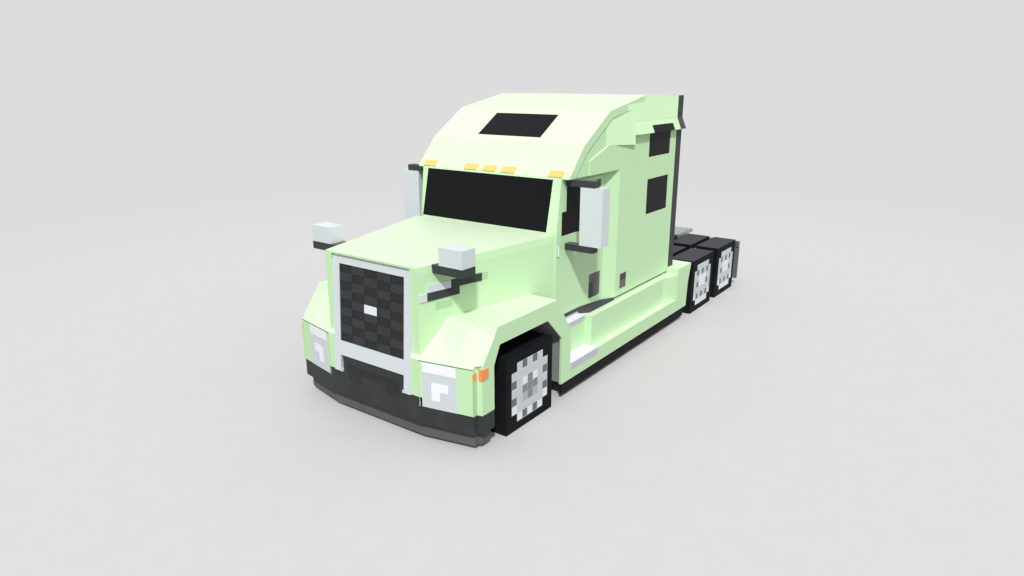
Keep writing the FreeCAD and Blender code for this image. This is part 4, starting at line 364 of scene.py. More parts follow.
# The part's own nodes by their finish
NODE_FINISH = {
    enamel: ["hood", "cab", "sleeper", "roof", "door_left", "door_right", "fairing_left", "fairing_right"],
    bumper_skin: ["bumper"],
    dam_rubber: ["air_dam"],
    lacquer: ["grille_surround", "hood_mirrors", "side_mirror_left", "side_mirror_right", "hinges"],
    mesh_raised: ["grille_mesh"],
    lamp_body: ["headlights"],
    lamp_amber: ["turn_signals"],
    marker_amber: ["marker_lights"],
    black_abs: ["side_extenders", "hood_mirror_brackets", "door_fittings_left", "door_fittings_right",
                "dashboard", "steering_wheel"],
    dark_abs: ["skirts"],
    glass: ["glazing", "door_glass_left", "door_glass_right"],
    tyre_shaded_clean: ["tyre_front_left", "tyre_front_right"],
    tyre_rubber: ["tyres_rear_front_left", "tyres_rear_front_right", "tyres_rear_rear_left",
                  "tyres_rear_rear_right"],
    rim_light: ["rim_front_left", "rim_front_right", "rim_rear_front_left", "rim_rear_front_right",
                "rim_rear_rear_left", "rim_rear_rear_right"],
    chassis_black: ["frame", "front_axle", "rear_axles", "fifth_wheel_base"],
    cast_iron: ["knuckle_left", "knuckle_right", "fifth_wheel_plate"],
    drawn_steel: ["tie_rod"],
    lamp_red: ["tail_lamps"],
    brushed_aluminium: ["fuel_tanks", "rear_bar", "radiator"],
    lacquer_white: ["steps"],
    floor_plate: ["rear_deck"],
    flap_rubber: ["mudflaps"],
    engine_grey: ["engine"],
    seat_cloth: ["seats_and_bunk"],
}


def dress_nodes():
    """Gives each node its finish."""
    for finish, names in NODE_FINISH.items():
        for name in names:
            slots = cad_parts[name].data.materials
            slots.clear()
            slots.append(finish)


dress_nodes()


# Shaping pieces

def raise_plate(form, outline, rise, tone=0, edge=2.0):
    """Adds a plate: a ring of corners, raised by a vector, with its edges rounded in millimetres."""
    ring = [form.verts.new(corner) for corner in outline]
    top = [form.verts.new(corner + rise) for corner in outline]
    count = len(ring)
    faces = [form.faces.new(ring[::-1]), form.faces.new(top)]
    for i in range(count):
        faces.append(form.faces.new((ring[i], ring[(i + 1) % count], top[(i + 1) % count], top[i])))
    for face in faces:
        face.material_index = tone
    bmesh.ops.recalc_face_normals(form, faces=faces)
    # Each edge once, in the order of the faces
    edges = list(dict.fromkeys(e for face in faces for e in face.edges))
    if edge:
        bmesh.ops.bevel(form, geom=edges, offset=edge * MM, segments=2, affect="EDGES", profile=0.5,
                        clamp_overlap=True)


def new_object(name, form, finishes):
    """An object in the scene from a filled mesh."""
    mesh = bpy.data.meshes.new(name)
    form.to_mesh(mesh)
    form.free()
    for finish in finishes:
        mesh.materials.append(finish)
    item = bpy.data.objects.new(name, mesh)
    bpy.context.scene.collection.objects.link(item)
    return item


def make_piece(name, body, finishes, build):
    """One piece from a function that fills a mesh; it rides on a body."""
    form = bmesh.new()
    build(form)
    piece = new_object(name, form, finishes)
    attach(piece, body)
    return piece


def rectangle(first, second):
    """The corners of a rectangle from two spans."""
    return ((first[0], second[0]), (first[1], second[0]), (first[1], second[1]), (first[0], second[1]))


def side_ring(side, x, back, up):
    """A rectangle on a plane that faces sideways."""
    return [place(side * x, b, u) for b, u in rectangle(back, up)]


def side_outline(side, x, outline):
    """Any outline on such a plane; it holds (back, up)."""
    return [place(side * x, back, up) for back, up in outline]


def front_ring(side, x, back, up):
    """A rectangle on a plane that faces to the front or the rear."""
    return [place(side * a, back, u) for a, u in rectangle(x, up)]


def flat_ring(side, x, back, up):
    """A level rectangle."""
    return [place(side * a, b, up) for a, b in rectangle(x, back)]


# Wheels: square cells of 100 mm on the rims' faces

WHEEL_FACE = 1400
CELL = 100
AXLE_HEIGHT = 450
FRONT_STATION = 1057
REAR_STATIONS = {"front": 6185, "rear": 7300}
# The rims' dark cells are pockets, with room round their plates; the other plates stand on the face
POCKET_DEPTH = 20
POCKET_GAP = 4
PLATE_GAP = 1
PLATE_RISE = 2
RIM_TONES = [rim_light, rim_white, rim_ring, rim_plus, rim_dark]
# One letter for each cell, top row first, front column first: L light, W white, R ring, P plus, D dark
FRONT_HUB = [" LDLDL ",
             "LLLLLLL",
             "DLWPWLD",
             "LLPPPLL",
             "DLRPRLD",
             "WLLLLLW",
             " WDWDW "]
REAR_HUB = [" LLLLL ",
            "LDLDLDL",
            "LLWWWLL",
            "LDWWWDL",
            "LLLLLLL",
            "WDLDLDW",
            " WWWWW "]
LETTERS = "LWRPD"


def hub_cells(form, pattern, station, side):
    """Plates on the rim's cells. Dark cells stand in the rim's pockets."""
    middle = len(pattern) // 2
    for row, line in enumerate(pattern):
        for column, letter in enumerate(line):
            if letter == " ":
                continue
            back = station + (column - middle) * CELL
            up = AXLE_HEIGHT + (middle - row) * CELL
            face, span, rise = WHEEL_FACE, CELL / 2 - PLATE_GAP, PLATE_RISE
            if letter == "D":
                face = WHEEL_FACE - POCKET_DEPTH
                span = CELL / 2 - POCKET_GAP
                rise = POCKET_DEPTH - PLATE_RISE
            ring = side_ring(side, face, (back - span, back + span), (up - span, up + span))
            raise_plate(form, ring, away(side * rise, 0, 0), LETTERS.index(letter), 1.0)


for side, word in SIDES:
    make_piece(f"hub_plates_front_{word}", f"wheel_front_{word}", RIM_TONES,
               lambda form: hub_cells(form, FRONT_HUB, FRONT_STATION, side))
    for spot, station in REAR_STATIONS.items():
        make_piece(f"hub_plates_rear_{spot}_{word}", f"wheel_rear_{spot}_{word}", RIM_TONES,
                   lambda form: hub_cells(form, REAR_HUB, station, side))


# Grille: a checker of two greys with a bare plate in its middle

MESH_HALF, MESH_LOW, MESH_HIGH = 500, 884, 1783
GRILLE_FOOT, GRILLE_TOP = 515, 1890
GRILLE_FRONT, GRILLE_LEAN = -24, 90
COLUMNS, ROWS = 5, 9
PAD_GAP, PAD_RISE = 4, 4
RAISED_SET, SUNK_SET = 10, 18
BARE_HALF_WIDE, BARE_HALF_TALL = 98, 48


def grille_face(x, up, proud=0.0):
    """A place on the leaning front of the grille."""
    back = GRILLE_FRONT + GRILLE_LEAN * (up - GRILLE_FOOT) / (GRILLE_TOP - GRILLE_FOOT)
    return place(x, back - proud, up)


def grille_cells(form):
    """Pressed pads in the cells: raised ones graphite, sunk ones black."""
    wide, tall = 2 * MESH_HALF / COLUMNS, (MESH_HIGH - MESH_LOW) / ROWS
    for row in range(ROWS):
        for column in range(COLUMNS):
            if (row, column) == (ROWS // 2, COLUMNS // 2):
                continue
            sunk = (row + column) % 2 == 0
            x0 = -MESH_HALF + column * wide + PAD_GAP
            x1 = x0 + wide - 2 * PAD_GAP
            low = MESH_LOW + row * tall + PAD_GAP
            high = low + tall - 2 * PAD_GAP
            proud = -SUNK_SET if sunk else -RAISED_SET
            ring = [grille_face(x, up, proud) for x, up in rectangle((x0, x1), (low, high))]
            raise_plate(form, ring, away(0, -PAD_RISE, 0), 1 if sunk else 0, 1.5)


make_piece("grille_cells", "hood", [mesh_raised, mesh_sunk], grille_cells)


def bare_plate(form):
    """A plain plate in the grille's middle cell."""
    middle = (MESH_LOW + MESH_HIGH) / 2
    wide = (-BARE_HALF_WIDE, BARE_HALF_WIDE)
    tall = (middle - BARE_HALF_TALL, middle + BARE_HALF_TALL)
    ring = [grille_face(x, up) for x, up in rectangle(wide, tall)]
    raise_plate(form, ring, away(0, -3, 0), 0, 2)


make_piece("grille_bare_plate", "hood", [lacquer_white], bare_plate)


# Lamps: outlines on the swept front hold (x, up)

SWEEP_START, SWEEP_END, SWEEP_BACK = 700, 1340, 130
LAMP_BAND = ((752, 812), (1148, 808), (1148, 925), (752, 925))
LAMP_ANGLE = ((857, 504), (960, 504), (960, 610), (1060, 610), (1060, 710), (857, 710))


def on_sweep(x, proud):
    """How far back the swept front stands at a place across the truck."""
    return SWEEP_BACK * (x - SWEEP_START) / (SWEEP_END - SWEEP_START) - proud


def sweep_plate(form, side, outline, proud, rise, tone=0, edge=2.0):
    """A plate on the swept front."""
    ring = [place(side * x, on_sweep(x, proud), up) for x, up in outline]
    raise_plate(form, ring, away(0, -rise, 0), tone, edge)


def lamp_faces(form):
    """A white band over each headlight, and the white angle of its main beam."""
    for side in SIGNS:
        sweep_plate(form, side, LAMP_BAND, 3, 3, 1)
        sweep_plate(form, side, LAMP_ANGLE, 3, 5, 1)


make_piece("headlight_faces", "hood", [lamp_body, lamp_white], lamp_faces)


# Bumper and nose trim

BUMPER_ARCH = ((-400, 410), (-400, 610), (400, 610), (400, 410), (200, 410), (200, 510), (-200, 510),
               (-200, 410))


def bumper_relief(form):
    """A darker arch in low relief on the bumper's middle."""
    raise_plate(form, [place(x, 0, up) for x, up in BUMPER_ARCH], away(0, -3, 0), 0, 1)


make_piece("bumper_relief", "chassis", [bumper_shade], bumper_relief)


def strip(form, start, end, width, rise, tone=0):
    """A narrow strip from start to end, as wide as one vector and as thick as another."""
    raise_plate(form, [start, end, end + width, start + width], rise, tone, 0)


FENDER_LIP, FENDER_TOP, FENDER_FRONT, FENDER_FOLD = 940, 1310, 400, 1100
# Under the fold the painted shadow under the lip is deeper
FOLD_SHADOW = (1030, 1110)


def nose_seams(form):
    """Painted shadow strips under the fenders' lips, and seals along their folds and beside the
    headlights.
    """
    for side in SIGNS:
        low, high = FENDER_LIP - 14, FENDER_LIP - 4
        # A dark strip under the lip: painted shadow of its overhang
        sweep_plate(form, side, rectangle((702, 1338), (low, high)), 0, 1.5, 0, 0)
        inner, outer = FOLD_SHADOW
        deeper = ((inner, low - 16), (outer, low - 6), (outer, high), (inner, high))
        sweep_plate(form, side, deeper, 0, 2, 0, 0)
        start = place(side * (FENDER_FOLD - 3), on_sweep(FENDER_FOLD, 0) + 6, FENDER_LIP + 8)
        end = place(side * (FENDER_FOLD - 3), FENDER_FRONT - 6, FENDER_TOP - 6)
        strip(form, start, end, away(side * 6, 0, 0), away(0, -1.5, 1.6), 1)
        sweep_plate(form, side, rectangle((708, 714), (470, 920)), 0, 1.2, 2, 0)


make_piece("nose_seams", "hood", [lip_shadow_paint, lamp_body, deep_mint_and_painted_shade], nose_seams)


FENDER_STEP, STEP_SPAN = 1340, (119, 186)
STEP_SHADE, STEP_LENS = (420, 803), (807, 888)


def fender_steps(form):
    """The step beside each turn signal: deeper mint on its side wall as painted shade, and the end of the
    signal's lens above it.
    """
    for side in SIGNS:
        for tone, span in enumerate((STEP_SHADE, STEP_LENS)):
            ring = side_ring(side, FENDER_STEP, STEP_SPAN, span)
            raise_plate(form, ring, away(side * 1.5, 0, 0), tone, 0.4)


make_piece("fender_steps", "hood", [deep_mint_and_painted_shade, lamp_amber], fender_steps)


def bumper_slits(form):
    """A light joint on each side of the bumper's centre panel, in line with the grille's edge."""
    for side in SIGNS:
        sweep_plate(form, side, rectangle((706, 715), (412, 468)), 0, 1.5, 0, 0)


make_piece("bumper_slits", "chassis", [lamp_body], bumper_slits)


# Hood

HOOD_FRONT, HOOD_REAR, HOOD_FRONT_HALF, HOOD_REAR_HALF = 40, 1950, 700, 1100
# Light ends of the vents, and patches of a deeper mint: front, rear, low and high
VENT_ENDS = ((160, 452, 1630, 1714), (55, 147, 1540, 1625))
DEEP_PATCHES = ((868, 960, 1627, 1714), (255, 470, 1420, 1505))


def hood_side(back):
    """Half the hood's width at a station."""
    widening = (HOOD_REAR_HALF - HOOD_FRONT_HALF) * (back - HOOD_FRONT) / (HOOD_REAR - HOOD_FRONT)
    return HOOD_FRONT_HALF + widening


def side_plate(form, side, front, rear, low, high, rise, tone, edge=1.0):
    """A plate on the hood's sloping side."""
    ring = [place(side * hood_side(back), back, up) for back, up in rectangle((front, rear), (low, high))]
    raise_plate(form, ring, away(side * rise, 0, 0), tone, edge)


def hood_side_plates(form):
    """The vents' light ends stand proud; the patches of a deeper mint lie almost flush."""
    for side in SIGNS:
        for edges in VENT_ENDS:
            side_plate(form, side, *edges, 12, 0)
        for edges in DEEP_PATCHES:
            side_plate(form, side, *edges, 1, 1, 0)


make_piece("hood_side_plates", "hood", [lacquer, deep_mint_and_painted_shade], hood_side_plates)


CREASE_APEX, CREASE_REAR, CREASE_CORNER = (0, 300, 1919), (0, 1946, 1975.5), (688, 44, 1910.5)


def hood_creases(form):
    """Strips of deeper mint along the hood top's creases, from its apex to the front corners and the
    screen: painted shade on the creases.
    """
    apex = place(*CREASE_APEX)
    strip(form, apex, place(*CREASE_REAR), away(4, 0, 0), away(0, 0, 0.6))
    x, back, up = CREASE_CORNER
    for side in SIGNS:
        strip(form, apex, place(side * x, back, up), away(0, 5, 0), away(0, 0, 0.8))


make_piece("hood_creases", "hood", [deep_mint_and_painted_shade], hood_creases)


# Wheel arches: outlines hold (back, up)

ARCH = ((394, 905), (496, 1115), (1407, 1115), (1716, 811))
ARCH_WALL = ((396, 560), (396, 905), (498, 1113), (1406, 1113), (1700, 825), (1700, 560))
LINER_INNER, LINER_OUTER, LINER_SHEET = 658, 1376, 3
WELL_REAR, WELL_ACROSS, WELL_TALL = 1755, (1044, 1366), (216, 800)


def arch_liner(form):
    """Thin fibre sheets just outside the arch's line, and a wall on the engine's side."""
    for side in SIGNS:
        for (y0, z0), (y1, z1) in zip(ARCH, ARCH[1:]):
            run = Vector((0, y1 - y0, z1 - z0)).normalized()
            out = Vector((0, -run.z, run.y)) * LINER_SHEET * MM
            ring = [place(side * LINER_INNER, y0, z0), place(side * LINER_OUTER, y0, z0),
                    place(side * LINER_OUTER, y1, z1), place(side * LINER_INNER, y1, z1)]
            raise_plate(form, ring, out, 0, 0)
        inwards = away(side * -LINER_SHEET, 0, 0)
        raise_plate(form, side_outline(side, LINER_INNER, ARCH_WALL), inwards, 0, 0)


make_piece("arch_liners", "hood", [liner_felt], arch_liner)


def well_walls(form):
    """Plain moulded walls that close the fairings towards the front wheels."""
    for side in SIGNS:
        ring = front_ring(side, WELL_ACROSS, WELL_REAR, WELL_TALL)
        raise_plate(form, ring, away(0, -4, 0), 0, 1.5)


make_piece("wheel_well_walls", "chassis", [liner_wall], well_walls)


# Doors, hatches and mirrors

DOOR_SKIN, HATCH_FLOOR, HATCH_FACE, CARD_FACE = 1095, 1175, 1194, 1050
MIRROR_BACK, MIRROR_ACROSS, MIRROR_PANES = 2400, (1322, 1578), ((2010, 2490), (1850, 1985))
HOOD_MIRROR_BACK, HOOD_MIRROR_ACROSS, HOOD_MIRROR_TALL = 440, (852, 1118), (1940, 2092)


def door_handle(form, side):
    """A warm grey plate with a darker pull in its lower front corner."""
    ring = side_ring(side, DOOR_SKIN, (2845, 3135), (955, 1275))
    raise_plate(form, ring, away(side * 2, 0, 0), 0, 1.5)
    ring = side_ring(side, DOOR_SKIN + 2, (2846, 2964), (958, 1164))
    raise_plate(form, ring, away(side * 2, 0, 0), 1, 1)


def hatch_handle(form):
    """The sleeper hatch's handle, darker in its upper half, set in the wall's recess."""
    for side in SIGNS:
        ring = side_ring(side, HATCH_FLOOR, (3534, 3726), (934, 1146))
        raise_plate(form, ring, away(side * (HATCH_FACE - HATCH_FLOOR), 0, 0), 0, 2)
        ring = side_ring(side, HATCH_FACE, (3538, 3722), (1050, 1142))
        raise_plate(form, ring, away(side * 3, 0, 0), 1, 1.5)


make_piece("hatch_handles", "chassis", [warm_abs, handle_dark], hatch_handle)


def door_card(form, side):
    """The door's inner trim: a moulded card with an armrest and a map pocket."""
    card, armrest, pocket = 6, 22, 14
    ring = side_ring(side, CARD_FACE, (2105, 3125), (930, 1860))
    raise_plate(form, ring, away(side * -card, 0, 0), 0, 3)
    ring = side_ring(side, CARD_FACE - card, (2300, 3050), (1460, 1530))
    raise_plate(form, ring, away(side * -armrest, 0, 0), 1, 8)
    ring = side_ring(side, CARD_FACE - card, (2250, 3080), (980, 1180))
    raise_plate(form, ring, away(side * -pocket, 0, 0), 1, 6)


def mirror_panes(form, side):
    """Flat glass above and a small convex pane below, on the side that faces the driver."""
    for tall in MIRROR_PANES:
        ring = front_ring(side, MIRROR_ACROSS, MIRROR_BACK, tall)
        raise_plate(form, ring, away(0, 5, 0), 0, 2)


for side, word in SIDES:
    make_piece(f"door_handle_{word}", f"door_{word}", [warm_abs, handle_dark],
               lambda form: door_handle(form, side))
    make_piece(f"door_card_{word}", f"door_{word}", [black_abs, warm_abs],
               lambda form: door_card(form, side))
    make_piece(f"mirror_panes_{word}", f"door_{word}", [mirror_glass],
               lambda form: mirror_panes(form, side))


def hood_mirror_panes(form):
    """Glass on the rear of the hood's mirrors."""
    for side in SIGNS:
        ring = front_ring(side, HOOD_MIRROR_ACROSS, HOOD_MIRROR_BACK, HOOD_MIRROR_TALL)
        raise_plate(form, ring, away(0, 5, 0), 0, 2)


make_piece("hood_mirror_panes", "hood", [mirror_glass], hood_mirror_panes)


# Steps

# Each tread's width and height, and its bars
TREADS = (((1070, 1196), 818), ((1212, 1398), 418))
BARS, BAR_START, BAR_PITCH, BAR_WIDTH, BAR_RISE = 16, 1945, 40, 14, 3
# Plates on the steps' outer edges and on the riser behind the upper step: x, and the span of heights
STEP_EDGES = ((1400, (322, 404)), (1200, (745, 805)), (1094, (819, 847)))


def step_treads(form):
    """Raised bars across each step, for grip."""
    for side in SIGNS:
        for across, up in TREADS:
            for index in range(BARS):
                back = BAR_START + index * BAR_PITCH
                ring = flat_ring(side, across, (back, back + BAR_WIDTH), up)
                raise_plate(form, ring, away(0, 0, BAR_RISE), 0, 1)


make_piece("step_treads", "chassis", [lacquer_white], step_treads)


def step_sides(form):
    """Pale plates on the steps' outer edges, and the riser behind the upper step."""
    for side in SIGNS:
        for x, tall in STEP_EDGES:
            ring = side_ring(side, x, (1930, 2592), tall)
            raise_plate(form, ring, away(side * 3, 0, 0), 0, 1.5)


make_piece("step_sides", "chassis", [step_plate], step_sides)


# Sills: a dark strip, painted shade at the cab's foot, whose upper edge is level to a knee, then falls
# towards the rear

SILL_FRONT, SILL_KNEE, SILL_REAR = 2112, 2600, 3190
SILL_TOP, SILL_END, SILL_FOOT = 904, 852, 853
DOOR_FOOT, DOOR_GAP = 880, 2
SILL_MEET = SILL_KNEE + (SILL_REAR - SILL_KNEE) * (SILL_TOP - DOOR_FOOT) / (SILL_TOP - SILL_END)
DOOR_SILL = ((SILL_FRONT, DOOR_FOOT + DOOR_GAP), (SILL_MEET, DOOR_FOOT + DOOR_GAP), (SILL_KNEE, SILL_TOP),
             (SILL_FRONT, SILL_TOP))
CAB_SILL = ((SILL_FRONT, SILL_FOOT), (SILL_REAR, SILL_FOOT), (SILL_MEET, DOOR_FOOT - DOOR_GAP),
            (SILL_FRONT, DOOR_FOOT - DOOR_GAP))
CAB_SIDE, SILL_RISE = 1100, 2
# The wedge's corners, (x, back) with the height of its upper face; its lower face is level
WEDGE = (((1104, 2610), 868), ((1198, 2715), 820), ((1198, 3390), 846), ((1104, 3202), 846))
WEDGE_FOOT = 813


def door_sill(form, side):
    """The part of the strip on the door's foot."""
    raise_plate(form, side_outline(side, CAB_SIDE, DOOR_SILL), away(side * SILL_RISE, 0, 0), 0, 0.5)


def cab_sills(form):
    """The part on the cab's foot, and a wedge that slopes from it down to the fairing's top."""
    for side in SIGNS:
        raise_plate(form, side_outline(side, CAB_SIDE, CAB_SILL), away(side * SILL_RISE, 0, 0), 0, 0.5)
        base = [form.verts.new(place(side * x, back, WEDGE_FOOT)) for (x, back), up in WEDGE]
        top = [form.verts.new(place(side * x, back, up)) for (x, back), up in WEDGE]
        faces = [form.faces.new(base), form.faces.new((top[0], top[1], top[2])),
                 form.faces.new((top[0], top[2], top[3]))]
        for i in range(4):
            faces.append(form.faces.new((base[i], base[(i + 1) % 4], top[(i + 1) % 4], top[i])))
        bmesh.ops.recalc_face_normals(form, faces=faces)


make_piece("cab_sills", "chassis", [sill_rubber_painted_shade], cab_sills)
for side, word in SIDES:
    make_piece(f"door_sill_{word}", f"door_{word}", [sill_rubber_painted_shade],
               lambda form: door_sill(form, side))


# Roof's rear sides: the upright side as (back, up), and two facets in front of it as (x, back, up)

SLEEPER_SIDE, SKIN_RISE, PANEL_SKIN_RISE = 1200, 1.5, 2
ROOF_SIDE = ((3744, 3198), (5156, 3198), (5156, 3509), (4042, 3523), (4042, 3447), (3547, 3415),
             (3547, 3336), (3744, 3372))
ROOF_PANELS = (((1184, 3012, 2941), (1240, 3739, 2903), (1203.3, 3739, 3362), (1196.6, 3626, 3342)),
               ((1184, 3012, 2941), (1196.6, 3626, 3342), (1185.3, 3073, 3242), (1184, 3012, 3204)))
# How far the skins' shading leans back, and how squarely a face looks outwards to be one of them
SIDE_LEAN = math.radians(19)
OUTWARD = 0.9


def roof_skins(form):
    """Thin skins over the roof's rear sides and over the panels in front of them."""
    for side in SIGNS:
        raise_plate(form, side_outline(side, SLEEPER_SIDE, ROOF_SIDE), away(side * SKIN_RISE, 0, 0), 0, 0)
        for outline in ROOF_PANELS:
            ring = [place(side * x, back, up) for x, back, up in outline]
            raise_plate(form, ring, away(side * PANEL_SKIN_RISE, 0, 0), 0, 0)


def lean_shading(piece):
    """Turns the outer faces' shading normals up, so that they shade as one form with the flare."""
    mesh = piece.data
    mesh.shade_smooth()
    lean = []
    for face in mesh.polygons:
        outer = abs(face.normal.x) > OUTWARD and face.normal.x * face.center.x > 0
        turned = (math.copysign(math.cos(SIDE_LEAN), face.normal.x), 0, math.sin(SIDE_LEAN))
        lean += [turned if outer else tuple(face.normal)] * face.loop_total
    mesh.normals_split_custom_set(lean)


lean_shading(make_piece("roof_skins", "chassis", [enamel], roof_skins))


# Rear end

RAIL_OUTER, RAIL_LOW, RAIL_HIGH = 430, 520, 770
RAIL_BOLTS, RAIL_BOLT_START, RAIL_BOLT_PITCH, RAIL_BOLT_INSET = 50, 400, 150, 50
DECK_TOP = 960
DECK_BOLTS_ACROSS, DECK_BOLTS_BACK = (-455, -390, 390, 455), (7300, 7500, 7700, 7920)
FLAP_REAR = 8025
RIBS, RIB_START, RIB_PITCH, RIB_WIDTH, RIB_TALL = 9, 1030, 42, 12, (130, 690)


def hex_bolt(form, centre, axis, across, height):
    """A hexagon head on a washer."""
    up = axis.normalized()
    aside = up.orthogonal().normalized()
    over = up.cross(aside)
    washer = (across * 0.62, 0, height * 0.25, 16)
    head = (across * 0.5, height * 0.25, height, 6)
    for radius, low, high, count in (washer, head):
        ring = [centre + up * low * MM + (aside * math.cos(2 * math.pi * i / count)
                                          + over * math.sin(2 * math.pi * i / count)) * radius * MM
                for i in range(count)]
        raise_plate(form, ring, up * (high - low) * MM, 0, 0)


def frame_bolts(form):
    """Two rows of bolts along each rail's web."""
    for side in SIGNS:
        for index in range(RAIL_BOLTS):
            back = RAIL_BOLT_START + index * RAIL_BOLT_PITCH
            for up in (RAIL_LOW + RAIL_BOLT_INSET, RAIL_HIGH - RAIL_BOLT_INSET):
                hex_bolt(form, place(side * RAIL_OUTER, back, up), Vector((side, 0, 0)), 22, 9)


make_piece("frame_bolts", "chassis", [drawn_steel], frame_bolts)


def deck_bolts(form):
    """Bolts in the deck's plate, over the rails."""
    for x in DECK_BOLTS_ACROSS:
        for back in DECK_BOLTS_BACK:
            hex_bolt(form, place(x, back, DECK_TOP), Vector((0, 0, 1)), 20, 8)


make_piece("deck_bolts", "chassis", [drawn_steel], deck_bolts)


def flap_ribs(form):
    """Upright ribs moulded in the mudflaps' rear faces."""
    for side in SIGNS:
        for index in range(RIBS):
            x = RIB_START + index * RIB_PITCH
            ring = front_ring(side, (x, x + RIB_WIDTH), FLAP_REAR, RIB_TALL)
            raise_plate(form, ring, away(0, 3, 0), 0, 1)


make_piece("mudflap_ribs", "chassis", [flap_rubber], flap_ribs)


# Seats and bunk

CAB_FLOOR, SEAT_LOW = 890, 1250
SEAT_BOX_ACROSS, SEAT_BOX_BACK = (395, 645), (2660, 2980)
SHELL_ACROSS, SHELL_BACK = (270, 770), (2565, 3070)
SEAT_ACROSS = (278, 762)
CUSHION_BACK, CUSHION_UP = (2570, 2962), (1264, 1356)
BACKREST_BACK, BACKREST_UP = (2972, 3074), (1270, 1892)
BOARD_ACROSS, BOARD_BACK, BOARD_LOW = (-1148, 1148), (4002, 5108), 1190
BUNK = ((-1140, 4010, 1206), (1140, 5100, 1328))
# A soft block's quads and how square it stays, and the cloth run that blows it up
SOFT_QUAD, SQUARENESS = 28, 9
CLOTH_PRESSURE, CLOTH_QUALITY, CLOTH_STEPS = 4, 5, 14


def padded_block(form, low, high, channels, resting):
    """A soft block of small quads with rounded edges; returns which of its points are sewn down.

    channels is an axis and a step in quads along it. resting is an axis and which end of it, 0 or 1,
    is the face that is sewn all over; no channel runs over the axis's low end.
    """
    count = [max(4, round((b - a) / SOFT_QUAD)) for a, b in zip(low, high)]
    grown = {}

    def point(cell):
        unit = [2 * c / n - 1 for c, n in zip(cell, count)]
        rounded = sum(abs(u) ** SQUARENESS for u in unit) ** (1 / SQUARENESS)
        reach = rounded / max(max(abs(u) for u in unit), 1e-6)
        spot = [(a + b) / 2 + u / reach * (b - a) / 2 for u, a, b in zip(unit, low, high)]
        if cell not in grown:
            grown[cell] = form.verts.new(place(*spot))
        return grown[cell]

    for axis in range(3):
        first, second = [a for a in range(3) if a != axis]
        for end in (0, count[axis]):
            for i in range(count[first]):
                for j in range(count[second]):
                    corners = []
                    for di, dj in ((0, 0), (1, 0), (1, 1), (0, 1)):
                        cell = [0, 0, 0]
                        cell[axis], cell[first], cell[second] = end, i + di, j + dj
                        corners.append(point(tuple(cell)))
                    form.faces.new(corners)
    bmesh.ops.recalc_face_normals(form, faces=form.faces[:])
    form.verts.index_update()
    along, step = channels
    axis, end = resting
    sewn = []
    for cell, vertex in grown.items():
        rests = cell[axis] == end * count[axis]
        on_channel = cell[along] % step == 0 and cell[axis] != 0
        if rests or on_channel:
            sewn.append(vertex.index)
    return sewn


def puff(piece, sewn, most):
    """Blows a cushion up between its seams with a short cloth run, and keeps each point's move small."""
    start = [vertex.co.copy() for vertex in piece.data.vertices]
    group = piece.vertex_groups.new(name="sewn")
    group.add(sewn, 1.0, "REPLACE")
    cloth = piece.modifiers.new("cloth", "CLOTH")
    cloth.settings.vertex_group_mass = "sewn"
    cloth.settings.use_pressure = True
    cloth.settings.uniform_pressure_force = CLOTH_PRESSURE
    cloth.settings.effector_weights.gravity = 0
    cloth.settings.quality = CLOTH_QUALITY
    scene = bpy.context.scene
    for step in range(1, CLOTH_STEPS + 1):
        scene.frame_set(step)
    blown = piece.evaluated_get(bpy.context.evaluated_depsgraph_get()).data
    moved = [vertex.co.copy() for vertex in blown.vertices]
    piece.modifiers.remove(cloth)
    scene.frame_set(1)
    for vertex, old, new in zip(piece.data.vertices, start, moved):
        shift = new - old
        if shift.length > most * MM:
            shift = shift.normalized() * most * MM
        vertex.co = old + shift
    piece.data.shade_smooth()


def soft_piece(name, low, high, channels, resting, most):
    """A padded cushion whose points move by at most so many millimetres as it is blown up."""
    form = bmesh.new()
    sewn = padded_block(form, low, high, channels, resting)
    piece = new_object(name, form, [seat_cloth])
    puff(piece, sewn, most)
    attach(piece, "chassis")


def seat_frames(form):
    """The boxes under the seats, their shells, and the board under the mattress."""
    for side in SIGNS:
        ring = flat_ring(side, SEAT_BOX_ACROSS, SEAT_BOX_BACK, CAB_FLOOR)
        raise_plate(form, ring, away(0, 0, SEAT_LOW - CAB_FLOOR), 0, 8)
        ring = flat_ring(side, SHELL_ACROSS, SHELL_BACK, SEAT_LOW)
        raise_plate(form, ring, away(0, 0, 14), 0, 4)
    ring = flat_ring(1, BOARD_ACROSS, BOARD_BACK, BOARD_LOW)
    raise_plate(form, ring, away(0, 0, 16), 0, 3)


frames = make_piece("seat_frames", "chassis", [black_abs], seat_frames)
for side, word in SIDES:
    across = sorted(side * x for x in SEAT_ACROSS)
    low, high = zip(across, CUSHION_BACK, CUSHION_UP)
    soft_piece(f"seat_cushion_{word}", low, high, (1, 5), (2, 0), 14)
    low, high = zip(across, BACKREST_BACK, BACKREST_UP)
    soft_piece(f"seat_backrest_{word}", low, high, (2, 5), (1, 1), 14)
soft_piece("bunk_mattress", *BUNK, (0, 12), (2, 0), 12)
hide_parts("seats_and_bunk")


# Camera, light and floor

# The photograph's view: degrees round from the front and above it, the lens, and the camera's place
VIEW_TURN, VIEW_RISE, VIEW_LENS = 35.99, 16.65, 24.44
VIEW_PLACE = (5444, -4856, 3726)
# The key's softness is its width in degrees
SKY_LEVEL, KEY_LEVEL, KEY_SOFTNESS = 0.7, 3.05, 4
KEY_FROM = (1.0, -1.348, 1.854)
BACKDROP = "#DDDDDD"
# The floor's tones to the eye, and the darker one that its light on the truck has
FLOOR_TONES, FLOOR_BOUNCE = ("#C0BFC0", "#C2C1C2"), "#686868"
# In metres: the floor's radius, and the distances over which it fades into the backdrop
FLOOR_RADIUS, FADE_START, FADE_END = 80, 7.0, 16.0


